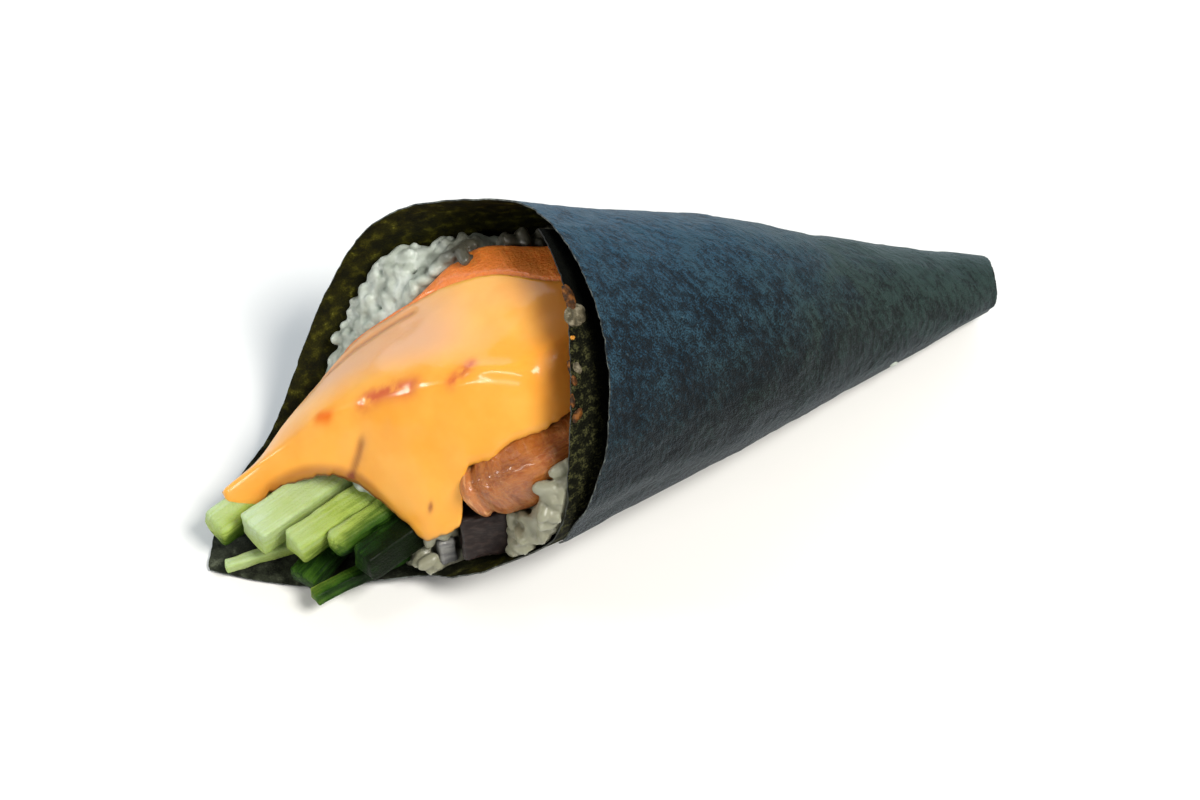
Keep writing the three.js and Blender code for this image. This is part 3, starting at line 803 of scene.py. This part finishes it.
salmon, tree, shader = new_material(
    "salmon",
    Roughness=0.42,
    Coat_Weight=0.3,
    Coat_Roughness=0.12,
    Subsurface_Weight=0.25,
    Subsurface_Radius=(1.0, 0.4, 0.2),
    Subsurface_Scale=0.002,
)
lay = painted(tree, "lay", "Vector")
lobe = painted(tree, "lobe")
grain = patches(tree, lay, 18, 0.35, 0.65, stretch=(0.7, 1, 1), detail=5)
fat = patches(tree, lay, 5.5, 0.5, 0.66, stretch=(1.6, 0.25, 0.5))
muscle = patches(tree, lay, 2.5, 0.35, 0.7)
colour = ramp(tree, muscle, [(0.0, (132, 66, 17)), (0.5, (152, 80, 22)), (1.0, (168, 97, 32))])
colour = blend(tree, maths(tree, "MULTIPLY", grain, 0.45), colour, srgb(176, 110, 46))
fattiness = maths(tree, "ADD", maths(tree, "MULTIPLY", lobe, 0.75), 0.12)
colour = blend(tree, maths(tree, "MULTIPLY", fat, fattiness), colour, srgb(224, 172, 116))
colour = blend(tree, maths(tree, "MULTIPLY", lobe, 0.35), colour, srgb(214, 138, 78))
# Painted light: the slice, deep in the mouth's shade, is painted brighter and more orange to stand
# in for the light that reaches it.
painted_fill_light = maths(tree, "MULTIPLY", painted(tree, "painted_fill_light"), 0.85)
colour = blend(tree, painted_fill_light, colour, srgb(238, 132, 52))
lay_on(tree, shader, colour, weighted(tree, (grain, 1.0), (fat, 0.6)), 0.14, 0.6)

CHUNK_MIDDLE = [
    # share of the length, and the middle's place there
    (0, -39.8, -15.6, 23.5), (0.333, -33.5, -17.5, 26.5), (0.667, -24, -19.2, 31.5),
    (1, -9, -17.5, 34),
]
CHUNK_WIDE, CHUNK_HIGH = 4.9, 6.1  # half of each
GROOVE_AT, GROOVE_WIDE, GROOVE_DEEP = 0.2, 0.05, 0.2  # where the lobe folds over
chunk, t, around = start_grid("salmon_chunk_piece", 96, 72)
t = t * t * (3 - 2 * t) * 0.6 + t * 0.4
path = [through(CHUNK_MIDDLE, column) for column in (1, 2, 3)]


def on_path(t):
    """The chunk's middle at a share of its length."""
    return np.stack([follow(t) for follow in path], -1)


def eased(value):
    """Makes a circle's sine or cosine into that of a rounded square."""
    return np.sign(value) * np.abs(value) ** 0.62


# A rounded square section follows the path, blunt at both ends, with a groove behind the lobe.
ahead = on_path(np.minimum(t + 0.01, 1)) - on_path(np.maximum(t - 0.01, 0))
ahead /= np.linalg.norm(ahead, axis=1, keepdims=True)
side = np.cross([0.0, 0.0, 1.0], ahead)
side /= np.linalg.norm(side, axis=1, keepdims=True)
above = np.cross(ahead, side)
angle = around * 2 * math.pi
full = np.sqrt(np.clip(1 - np.abs(2 * t - 1) ** 5, 0, 1))
full = full - GROOVE_DEEP * np.exp(-(((t - GROOVE_AT) / GROOVE_WIDE) ** 2)) * full
full = full * (1 + 0.17 * rise(t, 0.3, 0.6))
turned = np.stack([t * 30, 6 * np.cos(angle), 6 * np.sin(angle)], -1)
full = full * (1 + 0.08 * waves(turned, 9, 2, 4) + 0.025 * waves(turned, 2.5, 2, 6))
points = (
    on_path(t)
    + side * (eased(np.cos(angle)) * CHUNK_WIDE * full)[:, None]
    + above * (eased(np.sin(angle)) * CHUNK_HIGH * full)[:, None]
)
set_points(chunk, points)
set_vectors(chunk, "lay", turned / 10)
set_mask(chunk, "lobe", 1 - rise(t, 0.16, 0.26))
close_up(chunk)
chunk.data.materials.append(salmon)
smooth(chunk)
belongs(chunk, "salmon", "salmon_chunk")

salmon_slice = drape(
    "salmon_slice_piece",
    columns=150,
    rows=100,
    ends=(-62, -1),
    low=lambda x: ridge_y(x) - 4,
    high=lambda x: high_y(x) + mix(-3, 1.6, rise(x, -58, -46)) + 13 * rise(x, -37, -12),
    below=lambda x, y: mix(0.6, 3.2, rise(high_y(x) + 1 - y, 0, 3)),
    thick=lambda x, v: mix(3.5, 7.5, 1 - v * v) * mix(0.5, 1, rise(x, -62, -52)),
    lip=1.6,
)
points = points_of(salmon_slice)
points[:, 2] += 0.25 * waves(points, 6, 3, 8) * rise(points[:, 2], 20, 30)
set_points(salmon_slice, points)
set_vectors(salmon_slice, "lay", points / 10)
set_mask(salmon_slice, "lobe", 0.2)
# The slice takes the painted light in full.
set_mask(salmon_slice, "painted_fill_light", 1)
salmon_slice.data.materials.append(salmon)
smooth(salmon_slice)
belongs(salmon_slice, "salmon", "salmon_slice")

# ------------------------------------------------------------------------------------------------
# The sauce: thick orange spicy mayonnaise, poured over the heap from the top. It sags in a long
# lobe to the left and an apron over the sticks, with a fold between them, and is wet and shiny.
MARKS = {
    # name: points in plan along its middle, for a crest, a fold, a streak of chilli or a dot
    "crest": [(-33.2, -5), (-28.8, -8.8), (-24.4, -12.1)],
    "second_crest": [(-37.2, -5.2), (-31, -10), (-25.3, -13.9)],
    "low_crest": [(-47.8, -2.5), (-43.2, -6.0)],
    "streak": [(-50.5, 4.8), (-47, 3.1), (-43.1, 0)],
    "dark_mark": [(-36.7, -4.9), (-32.8, -4.2)],
    "spot": [(-58.4, 9.4), (-57.2, 8.2)],
    "dot": [(-46.1, -14.6), (-46, -14.5)],
    "fold": [(-53.6, 0.8), (-54.4, 0.3), (-56.9, -0.6)],
    "edge_line": [(-52.5, 21.4), (-47, 20.6), (-41, 19), (-36, 17.6)],
}


def near_line(x, y, line, wide):
    """1 on a line drawn in plan, falling smoothly to 0 at a few times `wide` from it."""
    best = np.full(x.shape, 1e9)
    for (ax, ay), (bx, by) in zip(line, line[1:]):
        run = (bx - ax) ** 2 + (by - ay) ** 2
        t = np.clip(((x - ax) * (bx - ax) + (y - ay) * (by - ay)) / run, 0, 1)
        best = np.minimum(best, (x - ax - t * (bx - ax)) ** 2 + (y - ay - t * (by - ay)) ** 2)
    return np.exp(-best / wide**2)


FOLDS = [
    # mark, how high it stands or below 0 how deep it lies, and half its width
    ("crest", 0.6, 1.3),
    ("second_crest", 0.2, 0.9),
    ("low_crest", 0.6, 1.3),
    ("fold", -1.3, 1.3),
    ("streak", -0.3, 1.0),
    ("dark_mark", -0.25, 0.9),
    ("edge_line", -0.45, 0.7),
]
SAUCE_DOWN = 0.35  # all of it, so that the crests stay at the heap's height


def sauce_folds(x, y):
    """Soft swells that fade near the shiny crests, and the crests and folds themselves."""
    shiny = near_line(x, y, MARKS["crest"], 4) + near_line(x, y, MARKS["low_crest"], 4)
    swells = 0.28 * waves(np.stack([x, y, x * 0], -1), 11, 2, 14) * (1 - np.minimum(shiny, 1))
    for mark, stands, wide in FOLDS:
        swells = swells + stands * near_line(x, y, MARKS[mark], wide)
    return swells - SAUCE_DOWN


def ragged(edge, share, shift):
    """An edge of the sauce that wanders by about `share` mm."""

    def read(x):
        line = np.stack([x, x * 0, x * 0], -1)
        return edge(x) + share * (waves(line, 5, 3, shift) + 0.6 * waves(line, 1.8, 2, shift + 3))

    return read


sauce_paint, tree, shader = new_material(
    "sauce",
    Roughness=0.42,
    Specular_IOR_Level=0.12,
    Coat_Weight=0.42,
    Coat_Roughness=0.13,
    Subsurface_Weight=0.35,
    Subsurface_Radius=(1.0, 0.55, 0.2),
    Subsurface_Scale=0.003,
)
place = put(tree, "TexCoord").outputs["Object"]
cloud = patches(tree, place, 90, 0.3, 0.7)
fine = patches(tree, place, 700, 0.3, 0.7)
colour = ramp(tree, cloud, [(0.0, (238, 162, 58)), (1.0, (244, 174, 75))])
broken = maths(tree, "MULTIPLY", painted(tree, "red"), patches(tree, place, 380, 0.15, 0.6))
# Painted sheen: a pale pink on the upper left and the left lobe stands in for the reflection of the
# cool light from behind.
colour = blend(tree, painted(tree, "painted_pink_sheen"), colour, srgb(219, 161, 110))
colour = blend(tree, broken, colour, srgb(200, 92, 52))
# Brown: a real dot and the salmon's edge showing, and painted shade in the fold, on the sauce's
# lower side and along the lobe's lower edge.
colour = blend(tree, painted(tree, "brown_and_shade"), colour, srgb(132, 66, 30))
colour = blend(tree, painted(tree, "vivid"), colour, srgb(226, 112, 22))
colour = blend(tree, painted(tree, "shade"), colour, srgb(172, 92, 22))
lay_on(tree, shader, colour, weighted(tree, (fine, 0.25), (cloud, 1.0)), 0.15, 0.4)

sauce = drape(
    "sauce_pour",
    columns=230,
    rows=200,
    ends=(-78.8, -4),
    low=ragged(low_y, 0.45, 31),
    high=ragged(high_y, 0.3, 37),
    below=lambda x, y: x * 0,
    thick=lambda x, v: mix(1.1, 2.4, 1 - v**4) * rise(x, -92, -72),
    lip=1.2,
    shape=sauce_folds,
)
x, y, z = points_of(sauce).T
red = near_line(x, y, MARKS["streak"], 1.7) + near_line(x, y, MARKS["dark_mark"], 1.2)
# Painted shade, browner: the sauce's lower side below the heap's top, the fold, and the left lobe's
# lower edge. The dot and the edge line are brown of their own.
under = rise(heap_top(x, y) - z, 0.9, 2.0)
lower_edge = (1 - rise(y - low_y(x), 0.1, 1.6)) * (1 - rise(x, -54, -50)) * rise(x, -76, -70)
brown_and_shade = 0.9 * near_line(x, y, MARKS["dot"], 0.45) + 0.3 * near_line(x, y, MARKS["fold"], 0.8)
brown_and_shade = brown_and_shade + 0.5 * under + 0.6 * lower_edge
brown_and_shade = brown_and_shade + 0.45 * near_line(x, y, MARKS["edge_line"], 0.5)
# Painted sheen of the cool light from behind: pale pink on the upper left, and a little on the left
# lobe.
painted_pink_sheen = rise(y - ridge_y(x), 3, 13) * rise(x, -66, -52) * (1 - rise(x, -38, -25))
painted_lobe_sheen = 0.15 * (1 - rise(x, -62, -54)) * rise(y - ridge_y(x), -6, 1)
set_mask(sauce, "red", np.clip(red, 0, 1))
set_mask(sauce, "brown_and_shade", np.clip(brown_and_shade, 0, 1))
set_mask(sauce, "vivid", near_line(x, y, MARKS["spot"], 1.1))
set_mask(sauce, "painted_pink_sheen", np.maximum(painted_pink_sheen, painted_lobe_sheen))
set_mask(sauce, "shade", 0.7 * rise(x - 0.3 * y, -23, -14))
sauce.data.materials.append(sauce_paint)
smooth(sauce)
belongs(sauce, "sauce", "sauce")

# ------------------------------------------------------------------------------------------------
# The rice: short cooked grains, moist and translucent, pressed together and sticking to the nori.
# A core fills the cone, and grains lie on it wherever it can be seen, at the mouth and at the tip.
# All are fused into one mass, as cooked rice is, and pressed flat against the wrap.
rice_paint, tree, shader = new_material(
    "rice",
    Roughness=0.42,
    Coat_Weight=0.15,
    Coat_Roughness=0.2,
    Subsurface_Weight=0.45,
    Subsurface_Radius=(0.85, 0.95, 0.9),
    Subsurface_Scale=0.0018,
)
place = put(tree, "TexCoord").outputs["Object"]
tone = patches(tree, place, 170, 0.35, 0.65, detail=1)
cloud = patches(tree, place, 420, 0.3, 0.7)
level = weighted(tree, (tone, 0.6), (cloud, 0.4))
colour = ramp(tree, level, [(0.0, (146, 154, 143)), (0.5, (174, 182, 171)), (1.0, (200, 208, 201))])
# Greyer and darker towards the near side.
greyer_near_side = maths(tree, "MULTIPLY", painted(tree, "greyer_near_side"), 0.8)
colour = blend(tree, greyer_near_side, colour, srgb(128, 124, 98))
# Painted shade: the rice under the top of the wrap is painted dark brown-grey.
colour = blend(tree, painted(tree, "painted_top_shade"), colour, srgb(58, 53, 38))
lay_on(tree, shader, colour, cloud, 0.2, 0.6)

CORE_VOXEL, FUSED_VOXEL = 1.3, 0.4
CORE_UNDER, CORE_UNDER_AT_TIP = 1.0, -0.4  # how deep the core lies under the grains
GRAIN_KINDS, GRAIN_HALF = 4, np.array([2.4, 1.35, 1.25])
GRAIN_APART = 1.8
GRAIN_SUNK = 0.25  # how deep a grain may press into another piece
GRAIN_MIDDLE_ABOVE, GRAIN_ABOVE = 1.6, 0.8  # the floor
WAYS_OUT, GOLDEN_TURN = 26, 2.39996  # the directions tried, spread evenly over a sphere

core = bpy.data.objects.new("rice_core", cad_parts["rice"].data.copy())
bpy.context.scene.collection.objects.link(core)
core.data.materials.clear()
edit(core)
bpy.ops.mesh.remove_doubles(threshold=1e-6)
leave()
even_out = core.modifiers.new("even", "REMESH")
even_out.mode = "VOXEL"
even_out.voxel_size = CORE_VOXEL * MM
apply_all(core)
surface = points_of(core)
outward = np.array([vertex.normal for vertex in core.data.vertices])

# It lies lower along its far top, and lower still inside the mouth, where the sheet shows above it.
x, y, z = surface.T
surface[:, 2] -= 3 * rise(z, 36, 46) * rise(y, 6, 14) + 4 * rise(z, 32, 42) * rise(y, 21, 28)
surface[:, 2] -= 2.5 * rise(x, -27, -20) * rise(y, 8, 15) * rise(z, 30, 40)

firm = [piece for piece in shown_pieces() if piece.get("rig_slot")]
graph = bpy.context.evaluated_depsgraph_get()
trees = [BVHTree.FromObject(piece, graph) for piece in firm]


def open_to_air(point, normal):
    """True if some straight way out from a point on the rice meets nothing."""
    start = Vector((point + normal * 0.6) * MM)
    for k in range(WAYS_OUT):
        z = 1 - (k + 0.5) * 2 / WAYS_OUT
        round_by = k * GOLDEN_TURN
        flat = math.sqrt(1 - z * z)
        way = Vector((flat * math.cos(round_by), flat * math.sin(round_by), z))
        if way.dot(Vector(normal)) < 0.2:
            continue
        if all(tree.ray_cast(start, way, 0.3)[0] is None for tree in trees):
            return True
    return False


def inside_any(points, deep):
    """True if any of the points lies more than `deep` mm inside another piece."""
    for p in points:
        spot = Vector(p * MM)
        for tree in trees:
            found, normal, _, away = tree.find_nearest(spot, 3 * MM)
            if found is not None and away > deep * MM and (spot - found).dot(normal) < 0:
                return True
    return False


# A few kinds of grain: a blunt spindle, a little bent, of 60 faces.
shapes = []
for kind in range(GRAIN_KINDS):
    bpy.ops.object.select_all(action="DESELECT")
    bpy.ops.mesh.primitive_uv_sphere_add(segments=10, ring_count=6, radius=MM)
    seed = bpy.context.object
    unit = points_of(seed)
    blunt = np.sign(unit) * np.abs(unit) ** np.array([0.82, 0.95, 0.95])
    grain = blunt * (GRAIN_HALF * (1 + 0.05 * (kind - 1.5)))
    grain[:, 2] += (0.1 + 0.12 * kind) * (blunt[:, 0] ** 2 - 0.4)
    grain[:, 1] += 0.18 * math.sin(kind * 2) * blunt[:, 0] ** 2
    shapes.append((grain, [list(face.vertices) for face in seed.data.polygons]))
    bpy.data.objects.remove(seed)

# Each grain lies nearly flat on the core, in any direction, a little apart from the others' middles
# and clear of the fish, the sticks and the sheet.
chance = random.Random(7)
order = list(range(len(surface)))
chance.shuffle(order)
placed, corners, faces = np.zeros((0, 3)), [], []
count = 0
for at in order:
    point, normal = surface[at], outward[at]
    spot = point + normal * (chance.random() * 1.1 - 0.55)
    nearest = ((placed - spot) ** 2).sum(1).min(initial=9)
    if spot[2] < GRAIN_MIDDLE_ABOVE or nearest < GRAIN_APART**2:
        continue
    if not open_to_air(point, normal):
        continue
    grain, sides = shapes[chance.randrange(GRAIN_KINDS)]
    up = Vector(normal)
    any_way = Vector((chance.gauss(0, 1), chance.gauss(0, 1), chance.gauss(0, 1)))
    lean = up * chance.gauss(0, 0.35)
    lengthwise = (any_way - up * any_way.dot(up)).normalized() + lean
    lengthwise.normalize()
    cross = up.cross(lengthwise).normalized()
    basis = np.array([lengthwise, cross, lengthwise.cross(cross)])
    scale = 0.9 + 0.2 * chance.random()
    made = (grain * scale) @ basis + spot
    if made[:, 2].min() < GRAIN_ABOVE or inside_any(made[::2], GRAIN_SUNK):
        continue
    placed = np.vstack([placed, spot])
    corners.append(made)
    faces.extend([[corner + count for corner in side] for side in sides])
    count += len(made)

# Core and grains are fused, softened, and thinned to about half their triangles.
grains_mesh = bpy.data.meshes.new("rice_grains")
grains_mesh.from_pydata((np.concatenate(corners) * MM).tolist(), [], faces)
grains = bpy.data.objects.new("rice_grains", grains_mesh)
bpy.context.scene.collection.objects.link(grains)
under = mix(CORE_UNDER, CORE_UNDER_AT_TIP, rise(surface[:, 0], 48, 62))
set_points(core, surface - outward * under[:, None])
select_only(grains)
core.select_set(True)
bpy.ops.object.join()
stuck = grains.modifiers.new("stuck", "REMESH")
stuck.mode = "VOXEL"
stuck.voxel_size = FUSED_VOXEL * MM
softer = grains.modifiers.new("softer", "SMOOTH")
softer.factor, softer.iterations = 0.5, 1
fewer = grains.modifiers.new("fewer", "DECIMATE")
fewer.ratio = 0.5
apply_all(grains)

# Rice that would reach through the sheet is pressed back inside its deepest dents.
points = points_of(grains)
from_apex = points - APEX
along, upward, nearward = from_apex @ AXIS, from_apex @ UPWARD, from_apex @ NEARWARD
radius, turn = np.hypot(upward, nearward), np.degrees(np.arctan2(nearward, upward))
innermost = np.where(turn > TURN_START + 360, turn - 360, turn)
deepest = sheet_inset(innermost, along) + CRUMPLE + EDGE_WAVE * rise(along, 100, 115)
room = outer_radius(along, turn) - (deepest + NORI_THICK + 0.05)
edge_at = np.where(innermost < TURN_CORNER, short_edge(innermost), long_edge(innermost))
held = (along < edge_at + 0.5) & (radius > room)
pressed = np.where(held, room / np.maximum(radius, 0.1), 1.0)
off_axis = np.multiply.outer(upward, UPWARD) + np.multiply.outer(nearward, NEARWARD)
points += off_axis * (pressed - 1)[:, None]
points[:, 2] = np.maximum(points[:, 2], NORI_THICK + 0.6)
set_points(grains, points)
x, y, z = points.T
# Greyer and darker towards the near side.
set_mask(grains, "greyer_near_side", rise(-y, 3, 10))
# Painted shade where the rice lies under the top of the wrap.
set_mask(grains, "painted_top_shade", 0.93 * rise(x, -33, -24) * rise(y, 8, 13) * rise(z, 36, 42))
grains.data.materials.clear()
grains.data.materials.append(rice_paint)
smooth(grains)
belongs(grains, "rice", "rice")

# ------------------------------------------------------------------------------------------------
# What sticks to the inner turn where it shows at the mouth: crushed grains, flakes of salmon and a
# smear of sauce that ran over the sheet's edge, and one grain at the seam near the tip. Each is
# pressed flat against the sheet. Those on the inner turn are painted dull and dark, as painted
# shade.
crumb_paint, tree, shader = new_material("crumb", Roughness=0.6, Specular_IOR_Level=0.2)
place = put(tree, "TexCoord").outputs["Object"]
burnt = patches(tree, place, 900, 0.3, 0.7)
# Both colours are painted dull and dark, as painted shade for the band the crumbs lie on.
brown_and_shade = ramp(tree, burnt, [(0.0, (40, 26, 12)), (0.5, (78, 46, 18)), (1.0, (118, 72, 28))])
grain_in_painted_shade = ramp(tree, burnt, [(0.0, (62, 58, 44)), (0.5, (92, 85, 66)), (1.0, (130, 122, 102))])
colour = blend(tree, painted(tree, "starch"), brown_and_shade, grain_in_painted_shade)
lay_on(tree, shader, colour, burnt, 0.3)

STUCK = [
    # name, material, slot, and for each bit its place, half sizes and turn on the sheet
    (
        "stuck_grains", crumb_paint, "rice",
        [
            ((-14.6, -9.8, 57), (2.4, 1.9, 0.45), 20), ((-17.9, -26.3, 39.9), (1.7, 1.2, 0.3), 80),
            ((-17.4, -18, 53.2), (1.2, 0.8, 0.25), 130),
        ],
    ),
    ("seam_grain", rice_paint, "rice", [((52.8, -13, 9.3), (0.9, 0.6, 0.4), 10)]),
    (
        "brown_crumbs", crumb_paint, "sauce",
        [
            ((-20.4, -23.6, 47.5), (1.4, 0.9, 0.4), 40), ((-19.2, -19.4, 52), (0.9, 0.6, 0.3), 100),
            ((-22.2, -26.4, 43), (1.1, 0.8, 0.3), 0), ((-14.4, -6.6, 58.2), (2.6, 1.1, 0.35), 90),
            ((-18.8, -18, 53), (1.8, 0.5, 0.3), 84), ((-20.6, -21.9, 50), (1.3, 0.5, 0.3), 96),
        ],
    ),
    ("sauce_smears", sauce_paint, "sauce", [((-16.6, -13.4, 55.9), (0.5, 0.4, 0.25), 0)]),
]
sheet_faces = BVHTree.FromObject(nori, bpy.context.evaluated_depsgraph_get())
for name, paint, slot, bits in STUCK:
    lumps = []
    for index, (place, half, turned) in enumerate(bits):
        bpy.ops.object.select_all(action="DESELECT")
        bpy.ops.mesh.primitive_ico_sphere_add(subdivisions=4, radius=MM)
        lump = bpy.context.object
        found, normal, _, _ = sheet_faces.find_nearest(Vector(place) * MM)
        back = -Vector(AXIS)
        ahead = (back - normal * back.dot(normal)).normalized()
        beside = normal.cross(ahead)
        turn_by = turned * RAD
        basis = np.array(
            [
                ahead * math.cos(turn_by) + beside * math.sin(turn_by),
                beside * math.cos(turn_by) - ahead * math.sin(turn_by),
                normal,
            ]
        )
        unit = points_of(lump)
        uneven = 1 + 0.3 * waves(unit, 1.2, 2, index + len(name))
        shaped = unit * uneven[:, None] * half
        set_points(lump, shaped @ basis + np.array(found) / MM + np.array(normal) * half[2] * 0.3)
        lumps.append(lump)
    for lump in lumps:
        lump.select_set(True)
    bpy.context.view_layer.objects.active = lumps[0]
    bpy.ops.object.join()
    piece = bpy.context.object
    piece.name = name
    set_mask(piece, "starch", name == "stuck_grains")
    # Only the sauce paint reads this: the smear is painted browner, as painted shade.
    set_mask(piece, "brown_and_shade", 0.5)
    piece.data.materials.append(paint)
    smooth(piece)
    belongs(piece, slot)

# ------------------------------------------------------------------------------------------------
# The stage: a plain pale floor, a soft key light from the near right, two small lamps whose
# reflections are the wet glints, a wide cool light from behind that lights the nori's bluish sheen,
# which is also painted into its upper side, and the camera looking down on the mouth.
CAMERA_AT, AIM_AT, LENS = (-116.994, -249.538, 390.598), (-5.381, 0.0, 14.045), 72
floor_paint, tree, shader = new_material(
    "floor", Roughness=0.9, Specular_IOR_Level=0.1, Base_Color=srgb(233, 233, 231)
)
bpy.ops.object.select_all(action="DESELECT")
bpy.ops.mesh.primitive_plane_add(size=4, location=(0, 0, 0))
ground = bpy.context.object
ground.name = "floor"
ground.data.materials.append(floor_paint)

world = bpy.data.worlds.new("room")
bpy.context.scene.world = world
world.use_nodes = True
air = world.node_tree.nodes["Background"]
air.inputs["Color"].default_value = (0.93, 0.96, 1.0, 1.0)
air.inputs["Strength"].default_value = 0.12

LAMPS = [
    # name, place in mm, width and height in mm, watts, colour
    ("key_light", (235, -348, 646), (300, 280), 7.0, (1.0, 0.97, 0.92)),
    ("left_glint", (-574, 305, 317), (170, 48), 1.2, (1.0, 0.98, 0.94)),
    ("front_glint", (-520, -308, 410), (420, 38), 1.6, (1.0, 0.98, 0.94)),
    ("sky_light", (250, 720, 340), (1600, 600), 7.8, (0.68, 0.84, 1.0)),
]
for name, place, size, watts, tint in LAMPS:
    lamp = bpy.data.lights.new(name, "AREA")
    lamp.shape = "RECTANGLE"
    lamp.size, lamp.size_y = size[0] * MM, size[1] * MM
    lamp.energy = watts
    lamp.color = tint
    holder = bpy.data.objects.new(name, lamp)
    holder.location = Vector(place) * MM
    holder.rotation_euler = (-holder.location).to_track_quat("-Z", "Y").to_euler()
    bpy.context.scene.collection.objects.link(holder)

lens = bpy.data.cameras.new("camera")
lens.sensor_width = 36
lens.lens = LENS
lens.clip_start, lens.clip_end = 0.01, 20
camera = bpy.data.objects.new("camera", lens)
camera.location = Vector(CAMERA_AT) * MM
aim = Vector(AIM_AT) * MM
camera.rotation_euler = (aim - camera.location).to_track_quat("-Z", "Y").to_euler()
bpy.context.scene.collection.objects.link(camera)
bpy.context.scene.camera = camera
bpy.context.scene.view_settings.view_transform = "Standard"
